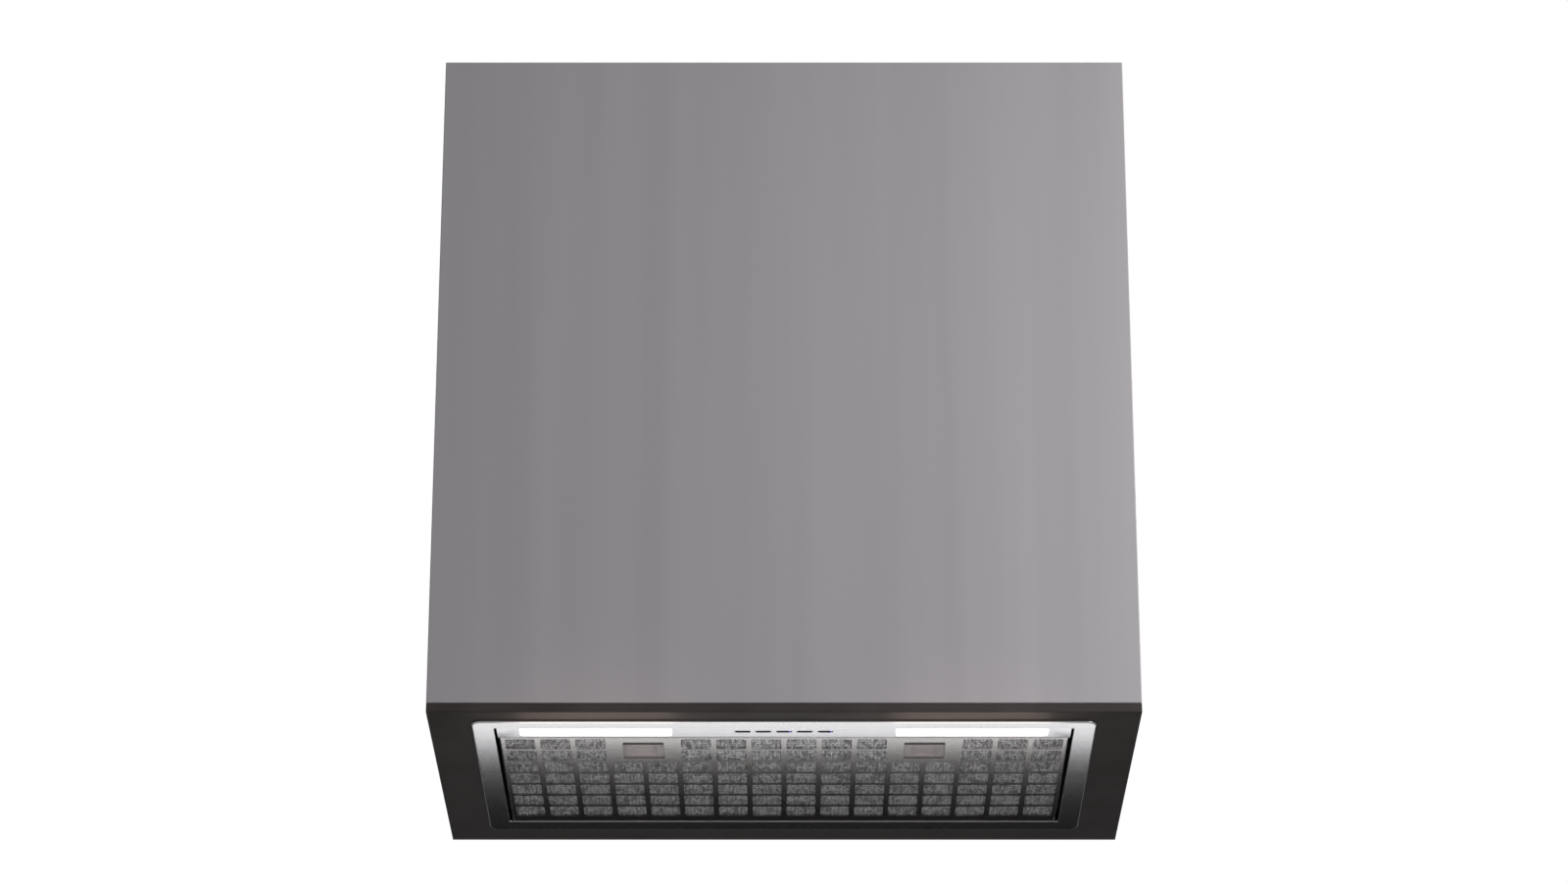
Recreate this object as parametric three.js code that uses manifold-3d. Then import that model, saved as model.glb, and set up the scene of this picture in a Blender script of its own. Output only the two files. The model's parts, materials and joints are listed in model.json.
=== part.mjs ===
// A range hood insert fitted in the plain box ("surround") that it hangs in.
// Millimetres, +Z up, X to the right, the front faces -Y.
// The origin is under the middle of the box, level with the underside of the insert's flange.

import * as THREE from "three";
import { mergeVertices } from "three/addons/utils/BufferGeometryUtils.js";
import Module from "manifold-3d";

const wasm = await Module();
wasm.setup();

// ---------------------------------------------------------------- driving dimensions

const SIDES = [
  { name: "left", sign: -1 },
  { name: "right", sign: 1 },
];
const seat = 0.25; // gap left between two pieces that rest on each other
const sheet = 1.5; // folded steel sheet
const coarseArc = 32; // sides of a large round
const fineArc = 16; // sides of a small round
const lap = 1; // how far a solid reaches into one it joins, and a cut past what it cuts

const surround = {
  width: 600,
  depth: 350,
  height: 602,
  board: 18,
  frontRail: 70,
  backRail: 78,
  wallRailHeight: 90,
  wallRailDrop: 32,
};

const basePlate = {
  thickness: 8,
  cutoutGap: 2,
};

// Depths inside the insert are measured back from the flange's front edge.
const flange = {
  setback: 20,
  width: 527,
  depth: 292,
  thickness: 2,
  corner: 9,
  sideBand: 18.5,
  frontRim: 15,
  rearBand: 22,
  openingCorner: 2,
  skirtHeight: 12,
  skirtWall: 1.25,
  rearRun: 6, // room behind the opening for the filter's tabs
};

const strip = {
  sideGap: 2,
  reveal: 0.5,
  depth: 24.5,
  recess: 0.25,
  thickness: 1.5,
};

const carrier = {
  height: 22,
  wall: 1.5,
  top: 2,
  partition: 2,
  ledge: 4,
  boardLedgeTop: 12,
  switchLedgeTop: 14,
};

const lens = {
  length: 129,
  depth: 19,
  fromStripEnd: 19.25,
  fromStripFront: 11,
  face: 0.5,
  corner: 2.5,
  fit: 0.25,
  lip: 3.5, // reach of the lip past each end
  lipThickness: 1.5,
};

const ledBoard = {
  width: 14,
  thickness: 1.5,
  chips: 8,
  chip: 3.5,
  chipDrop: 1,
  endPlay: 1,
};

const button = {
  count: 5,
  pitch: 17.5,
  width: 12,
  depth: 4.25,
  fromStripFront: 9,
  face: 1.25,
  fit: 0.375,
  corner: 1.25,
  lip: 1.25,
  lipThickness: 1.25,
  stemWidth: 5,
  stemDepth: 3,
  travel: 1.25,
  contactGap: 0.5, // left under the switch's plunger when the button is pressed
};

const switchBoard = {
  length: 96,
  thickness: 1.5,
  body: 6,
  bodyHeight: 3.5,
  plungerRadius: 1.5,
  plunger: 1,
};

const filter = {
  sideGap: 3,
  frontGap: 1,
  rearGap: 1,
  face: 0.75,
  thickness: 1.25,
  wall: 1.25,
  height: 9,
  lip: 3,
  windowPitchX: 30,
  windowPitchY: 30.5,
  bar: 4.5,
  frontMargin: 2.25,
  rearMargin: 12,
  meshThickness: 5,
  gridThickness: 0.75,
  gridBar: 8,
  gridColumns: 8,
  gridRows: 4,
  tabs: 3,
  tabWidth: 24,
  tabReach: 6.5,
  tabSpacing: 170,
};

const latch = {
  columnsFromEdge: 4, // whole columns of windows between the filter's edge and the latch
  behindRowLine: 4.5,
  openingWidth: 35,
  openingDepth: 49,
  plateWidth: 40,
  plateThickness: 1.75,
  frontSlot: 4,
  travel: 3.5,
  pad: 20,
  padDrop: 1.25,
  noseWidth: 12,
  noseThickness: 2,
  noseBase: 1.25,
  keeperGap: 0.25,
  keeperSide: 2, // room beside the nose in its keeper slot
  guideWall: 2.5,
  guideBackWall: 1.25,
  guideFront: 5, // reach of the guide in front of the opening
  guideCover: 1.5,
  sideFit: 0.5,
  clearanceAbove: 0.25,
};

const housing = {
  height: 82,
  wallGap: 0.25,
  deckLedge: 12, // deck left inside the blower box
  wireHole: 6,
};

const impeller = {
  blades: 30,
  innerRadius: 52,
  outerRadius: 64,
  bladeWall: 1.5,
  bladeLean: 28,
  halfWidth: 45,
  ring: 2,
  disc: 2,
  hubRadius: 9,
  hubLength: 12,
  bladeInset: 0.5, // each end of a blade stops short of the two radii
  ringLap: 1, // the end rings reach past the blades on both sides
  discInset: 2,
};

const scroll = {
  sideGap: 3, // between the impeller and the scroll's side wall
  wall: 2,
  forward: 18, // its axis lies this far in front of the middle of the box
  tongueGap: 5, // between the impeller and the tongue
  spread: 19, // growth of the passage from the tongue to the neck
  neck: 92,
  neckHeight: 30, // neck above the widest part of the scroll
  tongueAngle: 75,
  tongueReach: 14,
  below: 6, // room between the scroll and the deck
  inletLap: 1, // the inlet is smaller than the blades' inner radius
  steps: 26,
};

const blowerBox = {
  width: 300,
  scrollGap: 4,
  rim: 10,
};

const motor = {
  radius: 36,
  far: 62,
  near: 6,
  shaftRadius: 4,
  shaftEnd: 16,
  boreDepth: 12,
  boreFit: 0.5,
  bracketRing: 5,
  bracketWall: 3,
  sleeve: 3,
  arms: 3,
  armWidth: 10,
  ringGap: 2, // between the inlet's edge and the bracket's ring
  bellInset: 6,
  bellFront: 4,
  bellBack: 5,
};

const collar = {
  radius: 75,
  wall: 1.5,
  height: 50,
  baseReach: 9, // of the square base past the tube
  baseCorner: 8,
  baseThickness: 2,
  stopHeight: 12,
  stopWidth: 3.5,
  stopThickness: 2,
};

const damper = {
  play: 2,
  thickness: 1.25,
  middleGap: 4,
  knuckleRadius: 3.25,
  knuckleBore: 1.75,
  pinRadius: 1.5,
  knuckle: 22,
  knuckleGap: 2,
};

const clamp = {
  width: 24,
  height: 44,
  foot: 26,
  wall: 2,
  screwRadius: 3.5,
  screwHead: 3,
  fromEnds: 58,
  screwHeight: 30,
  ribReach: 18,
  ribHeight: 22,
};

const controlBox = {
  width: 66,
  depth: 136,
  height: 36,
  wall: 2,
  lid: 3,
  inset: 10, // back from the housing's side wall
  boardStand: 6,
  boardThickness: 1.5,
  boardInset: 3,
  postInset: 3,
  postRadius: 2.5,
  lidSkirt: 3,
  terminal: [40, 14, 12],
  terminalInset: 2,
};
// Parts on the control board: their two sides from its middle line, then from its front edge.
const transformer = { xs: [-14, 14], ys: [10, 36], height: 16 };
const relay = { xs: [-20, -4], ys: [46, 62], height: 14 };


const gland = {
  radius: 8,
  bore: 3.5,
  inside: 6, // reach of its thread inside the box
  outside: 14,
  collarLength: 6,
  collarRadius: 10.5,
  height: 18,
  boardRoom: 11,
};
const driver = {
  width: 62,
  depth: 110,
  height: 27,
  inset: 12,
  behindMiddle: 10, // reach of its back end behind the middle of the blower box
  ear: 8,
  earThickness: 2,
};
const capacitor = { radius: 17, length: 56, cap: 4, capInset: 3, gap: 14 };
const harness = {
  radius: 3,
  sides: 8,
  pastLens: 45,
  panelEnd: 40,
  rise: 14,
  bend: 10,
  deckLead: 2,
  aboveDeck: 8,
  belowDeck: 6,
  endDrop: 12,
  turnLead: 6,
  turnHeight: 18,
  layLead: 30,
  layHeight: 10,
  endHeight: 5,
  motorRise: 24,
  motorStraight: 3,
  motorEase: 1,
};

// ---------------------------------------------------------------- worked out from them

const surroundFront = -surround.depth / 2;
const insertPlace = new THREE.Vector3(0, surroundFront + flange.setback, 0);
const baseBottom = flange.thickness + seat;
const boardBottom = baseBottom + basePlate.thickness;

const opening = {
  half: flange.width / 2 - flange.sideBand,
  front: flange.frontRim,
  back: flange.depth - flange.rearBand,
};
const skirt = {
  half: opening.half + flange.skirtWall,
  front: opening.front - flange.skirtWall,
  back: opening.back + flange.rearRun + flange.skirtWall,
  top: flange.thickness + flange.skirtHeight,
};
const shell = {
  half: skirt.half + housing.wallGap + sheet,
  front: skirt.front - housing.wallGap - sheet,
  back: skirt.back + housing.wallGap + sheet,
  bottom: flange.thickness + seat,
  deck: flange.thickness + housing.height,
};
const stripPlate = {
  half: opening.half - strip.sideGap,
  front: opening.front + strip.reveal,
  back: opening.front + strip.reveal + strip.depth,
  bottom: strip.recess,
  top: strip.recess + strip.thickness,
};
const trough = {
  half: stripPlate.half,
  front: opening.front + seat,
  back: stripPlate.back,
  bottom: stripPlate.top + seat,
  top: stripPlate.top + seat + carrier.height,
};
const lensX = stripPlate.half - lens.fromStripEnd - lens.length / 2;
const lensY = stripPlate.front + lens.fromStripFront;
const lensHalfLip = lens.length / 2 + lens.lip;
const wireX = lensX + harness.pastLens;
const buttonY = stripPlate.front + button.fromStripFront;
const switchTip = carrier.switchLedgeTop + seat - switchBoard.bodyHeight - switchBoard.plunger;
const stemTop = switchTip - button.travel - button.contactGap;
const panel = {
  half: opening.half - filter.sideGap,
  front: stripPlate.back + filter.frontGap,
  back: opening.back - filter.rearGap,
  inside: filter.face + filter.thickness,
  top: filter.face + filter.height,
};
const blowerY = (shell.front + shell.back) / 2;
const passage = {
  tightRadius: impeller.outerRadius + scroll.tongueGap,
  wideRadius: impeller.outerRadius + scroll.tongueGap + scroll.spread,
  half: impeller.halfWidth + scroll.sideGap,
};
const scrollHalf = passage.half + scroll.wall;
const inletRadius = impeller.innerRadius - scroll.inletLap;
const scrollReach = passage.wideRadius + scroll.wall;
const axis = {
  y: blowerY - scroll.forward,
  z: shell.deck + scroll.below + scrollReach,
};
const box = {
  halfX: blowerBox.width / 2,
  halfY: scroll.forward + scrollReach + blowerBox.scrollGap,
  bottom: shell.deck + seat,
  top: axis.z + scrollReach + scroll.neckHeight,
};
const neckBack = axis.y + passage.wideRadius;
const outletY = neckBack - scroll.neck / 2;

// ---------------------------------------------------------------- materials

const finish = (color, roughness, metalness) =>
  new THREE.MeshStandardMaterial({ color, roughness, metalness });

const MATERIALS = {
  lacquer: finish(0x928f92, 0.5, 0.0),
  anthracite: finish(0x2e2b2a, 0.5, 0.0),
  stainless: finish(0xc9c7ca, 0.3, 1.0),
  zinc: finish(0xa9acb0, 0.42, 1.0),
  stripSteel: finish(0xbfbdc1, 0.34, 1.0),
  aluminium: finish(0x9c9da0, 0.4, 1.0),
  lens: finish(0xfffdf8, 0.35, 0.0),
  carrier: finish(0x3a3b3e, 0.6, 0.0),
  board: finish(0x1f5a3c, 0.5, 0.0),
  button: finish(0x32303a, 0.4, 0.0),
  latch: finish(0x857f7f, 0.55, 0.0),
  scroll: finish(0x4a4c50, 0.6, 0.0),
  impeller: finish(0x23252a, 0.5, 0.0),
  motor: finish(0x8f9296, 0.4, 0.9),
  damper: finish(0x3b3d40, 0.6, 0.0),
  enclosure: finish(0xd8d6d0, 0.6, 0.0),
  cable: finish(0x2a2a2c, 0.55, 0.0),
};

// ---------------------------------------------------------------- solids

// A closed geometry as a solid that can be joined and cut.
function solid(geometry) {
  const bare = new THREE.BufferGeometry();
  bare.setAttribute("position", geometry.getAttribute("position"));
  bare.setIndex(geometry.index);
  const merged = mergeVertices(bare, 1e-4);
  return new wasm.Manifold(
    new wasm.Mesh({
      numProp: 3,
      vertProperties: new Float32Array(merged.attributes.position.array),
      triVerts: new Uint32Array(merged.index.array),
    }),
  );
}

const joined = (first, ...others) => others.reduce((made, other) => made.add(other), first);
const without = (first, ...others) => others.reduce((made, other) => made.subtract(other), first);

// A box between two values on each axis, given in either order.
function block(xs, ys, zs) {
  const low = [xs, ys, zs].map((pair) => Math.min(...pair));
  const high = [xs, ys, zs].map((pair) => Math.max(...pair));
  const size = high.map((value, i) => value - low[i]);
  const geometry = new THREE.BoxGeometry(...size);
  geometry.translate(...low.map((value, i) => value + size[i] / 2));
  return solid(geometry);
}

// The directions of an outline's own axes when it is extruded along X, Y or Z.
const UNIT = { x: [1, 0, 0], y: [0, 1, 0], z: [0, 0, 1], minusY: [0, -1, 0] };
const BASIS = {
  x: [UNIT.y, UNIT.z, UNIT.x],
  y: [UNIT.x, UNIT.z, UNIT.minusY],
  z: [UNIT.x, UNIT.y, UNIT.z],
};

// An outline drawn in the two other axes, extruded along one axis from one value to another.
function prism(along, shape, from, to, curveSegments = fineArc) {
  const low = Math.min(from, to);
  const high = Math.max(from, to);
  const depth = high - low;
  const geometry = new THREE.ExtrudeGeometry(shape, { depth, bevelEnabled: false, curveSegments });
  const vectors = BASIS[along].map((v) => new THREE.Vector3(...v));
  const start = vectors[2].clone().multiplyScalar(along === "y" ? -high : low);
  geometry.applyMatrix4(new THREE.Matrix4().makeBasis(...vectors).setPosition(start));
  return solid(geometry);
}

function circle(x, y, radius) {
  return new THREE.Shape().absarc(x, y, radius, 0, 2 * Math.PI, false);
}

function rod(along, [u, v], radius, from, to, sides = fineArc) {
  const turn = (2 * Math.PI) / sides;
  const points = Array.from(
    { length: sides },
    (_, i) =>
      new THREE.Vector2(u + radius * Math.cos(turn * i), v + radius * Math.sin(turn * i)),
  );
  return prism(along, new THREE.Shape(points), from, to);
}

function rectangle(x0, x1, y0, y1) {
  return new THREE.Shape([
    new THREE.Vector2(x0, y0),
    new THREE.Vector2(x1, y0),
    new THREE.Vector2(x1, y1),
    new THREE.Vector2(x0, y1),
  ]);
}

function roundedRectangle(x0, x1, y0, y1, radius) {
  const quarter = Math.PI / 2;
  return new THREE.Shape()
    .absarc(x1 - radius, y0 + radius, radius, -quarter, 0, false)
    .absarc(x1 - radius, y1 - radius, radius, 0, quarter, false)
    .absarc(x0 + radius, y1 - radius, radius, quarter, 2 * quarter, false)
    .absarc(x0 + radius, y0 + radius, radius, 2 * quarter, 3 * quarter, false);
}

function withHoles(shape, ...holes) {
  shape.holes.push(...holes);
  return shape;
}

// A named mesh of a finished solid.
function piece(name, material, made) {
  const data = made.getMesh();
  const geometry = new THREE.BufferGeometry();
  geometry.setAttribute("position", new THREE.BufferAttribute(data.vertProperties, 3));
  geometry.setIndex(new THREE.BufferAttribute(data.triVerts, 1));
  geometry.computeVertexNormals();
  const mesh = new THREE.Mesh(geometry, material);
  mesh.name = name;
  return mesh;
}

function groupAt(place, ...members) {
  const group = new THREE.Group();
  group.position.copy(place);
  group.add(...members);
  return group;
}

// ---------------------------------------------------------------- surround

function surroundBoards() {
  const half = surround.width / 2;
  const back = surround.depth / 2;
  const inner = half - surround.board;
  const behindFront = surroundFront + surround.board;
  const top = boardBottom + surround.height;
  const zs = [boardBottom + seat, top];
  const railZ = [top - surround.board, top];
  const between = [-inner + seat, inner - seat];
  const sideYs = [behindFront + seat, back];
  const wallRailTop = top - surround.board - surround.wallRailDrop;
  const { lacquer } = MATERIALS;
  const boards = [
    piece(
      "surround_front",
      lacquer,
      block([-half, half], [surroundFront, behindFront], zs),
    ),
    ...SIDES.map(({ name, sign }) =>
      piece(`surround_${name}`, lacquer, block([sign * inner, sign * half], sideYs, zs)),
    ),
    piece(
      "top_rail_front",
      lacquer,
      block(between, [behindFront + seat, behindFront + surround.frontRail], railZ),
    ),
    piece("top_rail_back", lacquer, block(between, [back - surround.backRail, back], railZ)),
    piece(
      "wall_rail",
      lacquer,
      block(
        between,
        [back - surround.board, back],
        [wallRailTop - surround.wallRailHeight, wallRailTop],
      ),
    ),
  ];
  return groupAt(new THREE.Vector3(), ...boards);
}

function surroundBase() {
  const half = surround.width / 2;
  const hole = rectangle(
    -shell.half - basePlate.cutoutGap,
    shell.half + basePlate.cutoutGap,
    insertPlace.y + shell.front - basePlate.cutoutGap,
    insertPlace.y + shell.back + basePlate.cutoutGap,
  );
  const outline = rectangle(-half, half, surroundFront, surround.depth / 2);
  return piece(
    "base_plate",
    MATERIALS.anthracite,
    prism("z", withHoles(outline, hole), baseBottom, boardBottom),
  );
}

// ---------------------------------------------------------------- frame and housings

function bezelFrame() {
  const half = flange.width / 2;
  const ring = withHoles(
    roundedRectangle(-half, half, 0, flange.depth, flange.corner),
    roundedRectangle(
      -opening.half,
      opening.half,
      opening.front,
      opening.back,
      flange.openingCorner,
    ),
  );
  const collarRing = withHoles(
    rectangle(-skirt.half, skirt.half, skirt.front, skirt.back),
    rectangle(-opening.half, opening.half, opening.front, skirt.back - flange.skirtWall),
  );
  const made = joined(
    prism("z", ring, 0, flange.thickness, 6),
    prism("z", collarRing, flange.thickness / 2, skirt.top),
  );
  return piece("bezel_frame", MATERIALS.stainless, made);
}

function lowerHousing() {
  const outer = rectangle(-shell.half, shell.half, shell.front, shell.back);
  const inner = rectangle(
    -shell.half + sheet,
    shell.half - sheet,
    shell.front + sheet,
    shell.back - sheet,
  );
  const holeX = box.halfX - housing.deckLedge;
  const holeY = box.halfY - housing.deckLedge;
  const deckHole = rectangle(-holeX, holeX, blowerY - holeY, blowerY + holeY);
  const deck = withHoles(
    rectangle(-shell.half, shell.half, shell.front, shell.back),
    deckHole,
    circle(wireX, lensY, housing.wireHole),
    circle(-wireX, lensY, housing.wireHole),
  );
  const made = joined(
    prism("z", withHoles(outer, inner), shell.bottom, shell.deck),
    prism("z", deck, shell.deck - sheet, shell.deck, 4),
  );
  return piece("lower_housing", MATERIALS.zinc, made);
}

function upperHousing() {
  const around = (extra) =>
    rectangle(
      -box.halfX - extra,
      box.halfX + extra,
      blowerY - box.halfY - extra,
      blowerY + box.halfY + extra,
    );
  const top = withHoles(
    around(0),
    rectangle(
      -scroll.neck / 2,
      scroll.neck / 2,
      outletY - scroll.neck / 2,
      outletY + scroll.neck / 2,
    ),
  );
  const made = joined(
    prism("z", withHoles(around(0), around(-sheet)), box.bottom, box.top),
    prism("z", withHoles(around(blowerBox.rim), around(-sheet)), box.bottom, box.bottom + sheet),
    prism("z", top, box.top - sheet, box.top),
  );
  return piece("upper_housing", MATERIALS.zinc, made);
}

function clampBrackets() {
  const bottom = boardBottom + seat;
  const wallX = shell.half + seat;
  const screwZ = bottom + clamp.screwHeight;
  return SIDES.flatMap(({ name, sign }) =>
    ["front", "back"].flatMap((end) => {
      const y = end === "front" ? shell.front + clamp.fromEnds : shell.back - clamp.fromEnds;
      const ys = [y - clamp.width / 2, y + clamp.width / 2];
      const legXs = [sign * wallX, sign * (wallX + clamp.wall)];
      const rib = new THREE.Shape([
        new THREE.Vector2(sign * (wallX + clamp.wall / 2), bottom + clamp.wall / 2),
        new THREE.Vector2(sign * (wallX + clamp.ribReach), bottom + clamp.wall / 2),
        new THREE.Vector2(sign * (wallX + clamp.wall / 2), bottom + clamp.ribHeight),
      ]);
      const bracket = joined(
        block(legXs, ys, [bottom, bottom + clamp.height]),
        block([sign * wallX, sign * (wallX + clamp.foot)], ys, [bottom, bottom + clamp.wall]),
        prism("y", rib, y - clamp.wall / 2, y + clamp.wall / 2),
      );
      const headX = wallX + clamp.wall + seat;
      const screw = rod(
        "x",
        [y, screwZ],
        clamp.screwRadius,
        sign * headX,
        sign * (headX + clamp.screwHead),
        6,
      );
      return [
        piece(`clamp_${name}_${end}`, MATERIALS.zinc, bracket),
        piece(`clamp_screw_${name}_${end}`, MATERIALS.zinc, screw),
      ];
    }),
  );
}

// ---------------------------------------------------------------- lights and buttons

const buttonXs = Array.from(
  { length: button.count },
  (_, i) => (i - (button.count - 1) / 2) * button.pitch,
);

function controlStrip() {
  const lensHoles = SIDES.map(({ sign }) =>
    roundedRectangle(
      sign * lensX - lens.length / 2,
      sign * lensX + lens.length / 2,
      lensY - lens.depth / 2,
      lensY + lens.depth / 2,
      lens.corner,
    ),
  );
  const slotX = button.width / 2 + button.fit;
  const slotY = button.depth / 2 + button.fit;
  const slots = buttonXs.map((x) =>
    roundedRectangle(x - slotX, x + slotX, buttonY - slotY, buttonY + slotY, button.corner),
  );
  const outline = withHoles(
    rectangle(-stripPlate.half, stripPlate.half, stripPlate.front, stripPlate.back),
    ...lensHoles,
    ...slots,
  );
  return piece(
    "control_strip",
    MATERIALS.stripSteel,
    prism("z", outline, stripPlate.bottom, stripPlate.top, 3),
  );
}

const boardSpan = {
  low: lensX - lensHalfLip - ledBoard.endPlay,
  high: lensX + lensHalfLip + ledBoard.endPlay,
};
const latchX = panel.half - latchInset();
const keeper = {
  bottom: panel.inside + latch.noseBase,
  top: panel.inside + latch.noseBase + latch.noseThickness,
  play: 0.5,
};

// Distance from the filter's edge to the grid line that the latch is centred on.
function latchInset() {
  const columns = Math.floor((2 * panel.half) / filter.windowPitchX);
  const margin = panel.half - (columns * filter.windowPitchX) / 2;
  return margin + latch.columnsFromEdge * filter.windowPitchX;
}

function lightCarrier() {
  const inside = {
    half: trough.half - carrier.wall,
    front: trough.front + carrier.wall,
    back: trough.back - carrier.wall,
    top: trough.top - carrier.top,
  };
  const shellSolid = without(
    block([-trough.half, trough.half], [trough.front, trough.back], [trough.bottom, trough.top]),
    block(
      [-inside.half, inside.half],
      [inside.front, inside.back],
      [trough.bottom - lap, inside.top],
    ),
  );
  const across = [inside.front - carrier.wall / 2, inside.back + carrier.wall / 2];
  const partitionZ = [trough.bottom, inside.top + carrier.top / 2];
  const boardLedgeZ = [carrier.boardLedgeTop - carrier.ledge / 2, carrier.boardLedgeTop];
  const switchLedgeZ = [carrier.switchLedgeTop - carrier.ledge / 2, carrier.switchLedgeTop];
  const switchEnd = switchBoard.length / 2;
  const inserts = SIDES.flatMap(({ sign }) => [
    block(
      [sign * (boardSpan.low - carrier.partition), sign * boardSpan.low],
      across,
      partitionZ,
    ),
    block(
      [sign * boardSpan.high, sign * (boardSpan.high + carrier.partition)],
      across,
      partitionZ,
    ),
    block(
      [sign * (boardSpan.low - carrier.partition / 2), sign * (boardSpan.low + carrier.ledge)],
      across,
      boardLedgeZ,
    ),
    block(
      [sign * (boardSpan.high + carrier.partition / 2), sign * (boardSpan.high - carrier.ledge)],
      across,
      boardLedgeZ,
    ),
    block(
      [sign * (switchEnd - carrier.ledge), sign * (switchEnd + carrier.ledge / 2)],
      across,
      switchLedgeZ,
    ),
  ]);
  const keeperSlots = SIDES.map(({ sign }) =>
    block(
      [
        sign * latchX - latch.noseWidth / 2 - latch.keeperSide,
        sign * latchX + latch.noseWidth / 2 + latch.keeperSide,
      ],
      [inside.back - lap, trough.back + lap],
      [keeper.bottom - keeper.play, keeper.top + keeper.play],
    ),
  );
  const made = without(joined(shellSolid, ...inserts), ...keeperSlots);
  return piece("light_carrier", MATERIALS.carrier, made);
}

function lensPieces() {
  return SIDES.map(({ name, sign }) => {
    const x = sign * lensX;
    const bodyX = lens.length / 2 - lens.fit;
    const bodyY = lens.depth / 2 - lens.fit;
    const body = roundedRectangle(
      x - bodyX,
      x + bodyX,
      lensY - bodyY,
      lensY + bodyY,
      lens.corner - lens.fit,
    );
    const lip = rectangle(
      x - lensHalfLip,
      x + lensHalfLip,
      lensY - lens.depth / 2,
      lensY + lens.depth / 2,
    );
    const made = joined(
      prism("z", body, lens.face, trough.bottom + lens.lipThickness / 2, 4),
      prism("z", lip, trough.bottom, trough.bottom + lens.lipThickness),
    );
    return piece(`led_lens_${name}`, MATERIALS.lens, made);
  });
}

function ledBoards() {
  const bottom = carrier.boardLedgeTop + seat;
  const ys = [lensY - ledBoard.width / 2, lensY + ledBoard.width / 2];
  const step = lens.length / ledBoard.chips;
  return SIDES.map(({ name, sign }) => {
    const xs = [sign * (boardSpan.low + seat), sign * (boardSpan.high - seat)];
    const chips = Array.from({ length: ledBoard.chips }, (_, i) => {
      const x = sign * lensX + (i - (ledBoard.chips - 1) / 2) * step;
      return block(
        [x - ledBoard.chip / 2, x + ledBoard.chip / 2],
        [lensY - ledBoard.chip / 2, lensY + ledBoard.chip / 2],
        [bottom - ledBoard.chipDrop, bottom + ledBoard.thickness / 2],
      );
    });
    const made = joined(block(xs, ys, [bottom, bottom + ledBoard.thickness]), ...chips);
    return piece(`led_board_${name}`, MATERIALS.board, made);
  });
}

function buttons() {
  const cap = roundedRectangle(
    -button.width / 2,
    button.width / 2,
    -button.depth / 2,
    button.depth / 2,
    button.corner - button.fit,
  );
  const lipX = button.width / 2 + button.lip;
  const lipY = button.depth / 2 + button.lip;
  const lipBottom = stripPlate.top + seat;
  const lipTop = lipBottom + button.lipThickness;
  const stemXs = [-button.stemWidth / 2, button.stemWidth / 2];
  const stemYs = [-button.stemDepth / 2, button.stemDepth / 2];
  return buttonXs.map((x, i) => {
    const made = joined(
      prism("z", cap, button.face, lipBottom + button.lipThickness / 2, 3),
      block([-lipX, lipX], [-lipY, lipY], [lipBottom, lipTop]),
      block(stemXs, stemYs, [lipTop - button.lipThickness / 2, stemTop]),
    );
    const mesh = piece(`button_${i + 1}`, MATERIALS.button, made);
    mesh.position.set(x, buttonY, 0);
    return mesh;
  });
}

function switchBoardPiece() {
  const bottom = carrier.switchLedgeTop + seat;
  const half = switchBoard.length / 2;
  const inset = carrier.wall + seat;
  const ys = [trough.front + inset, trough.back - inset];
  const bodyBottom = bottom - switchBoard.bodyHeight;
  const switches = buttonXs.flatMap((x) => [
    block(
      [x - switchBoard.body / 2, x + switchBoard.body / 2],
      [buttonY - switchBoard.body / 2, buttonY + switchBoard.body / 2],
      [bodyBottom, bottom + switchBoard.thickness / 2],
    ),
    rod(
      "z",
      [x, buttonY],
      switchBoard.plungerRadius,
      bodyBottom - switchBoard.plunger,
      bodyBottom + switchBoard.plunger,
      8,
    ),
  ]);
  const made = joined(
    block([-half, half], ys, [bottom, bottom + switchBoard.thickness]),
    ...switches,
  );
  return piece("switch_board", MATERIALS.board, made);
}

// ---------------------------------------------------------------- filter

const columns = Math.floor((2 * panel.half) / filter.windowPitchX);
const rows = Math.floor(
  (panel.back - panel.front - filter.frontMargin - filter.rearMargin) / filter.windowPitchY,
);
const gridLeft = (-columns * filter.windowPitchX) / 2;
const gridFront = panel.front + filter.frontMargin;
const latchOpening = {
  low: gridFront + filter.windowPitchY + latch.behindRowLine - latch.openingDepth / 2,
  high: gridFront + filter.windowPitchY + latch.behindRowLine + latch.openingDepth / 2,
};
const guide = {
  half: latch.plateWidth / 2 + latch.sideFit + latch.guideWall,
  front: latchOpening.low - latch.guideFront,
  back: latchOpening.high + latch.travel,
  bottom: panel.inside + seat,
  cover: panel.inside + latch.noseBase + latch.noseThickness + latch.clearanceAbove,
};
guide.top = guide.cover + latch.guideCover;

// The windows of the perforated face, leaving out those that a latch takes.
function filterWindows(zs) {
  const windows = [];
  for (let column = 0; column < columns; column += 1) {
    for (let row = 0; row < rows; row += 1) {
      const x = gridLeft + column * filter.windowPitchX;
      const y = gridFront + row * filter.windowPitchY;
      const middle = Math.abs(x + filter.windowPitchX / 2);
      const besideLatch = Math.abs(middle - latchX) < filter.windowPitchX;
      if (besideLatch && y < latchOpening.high) continue;
      windows.push(
        block(
          [x + filter.bar / 2, x + filter.windowPitchX - filter.bar / 2],
          [y + filter.bar / 2, y + filter.windowPitchY - filter.bar / 2],
          zs,
        ),
      );
    }
  }
  return windows;
}

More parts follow.
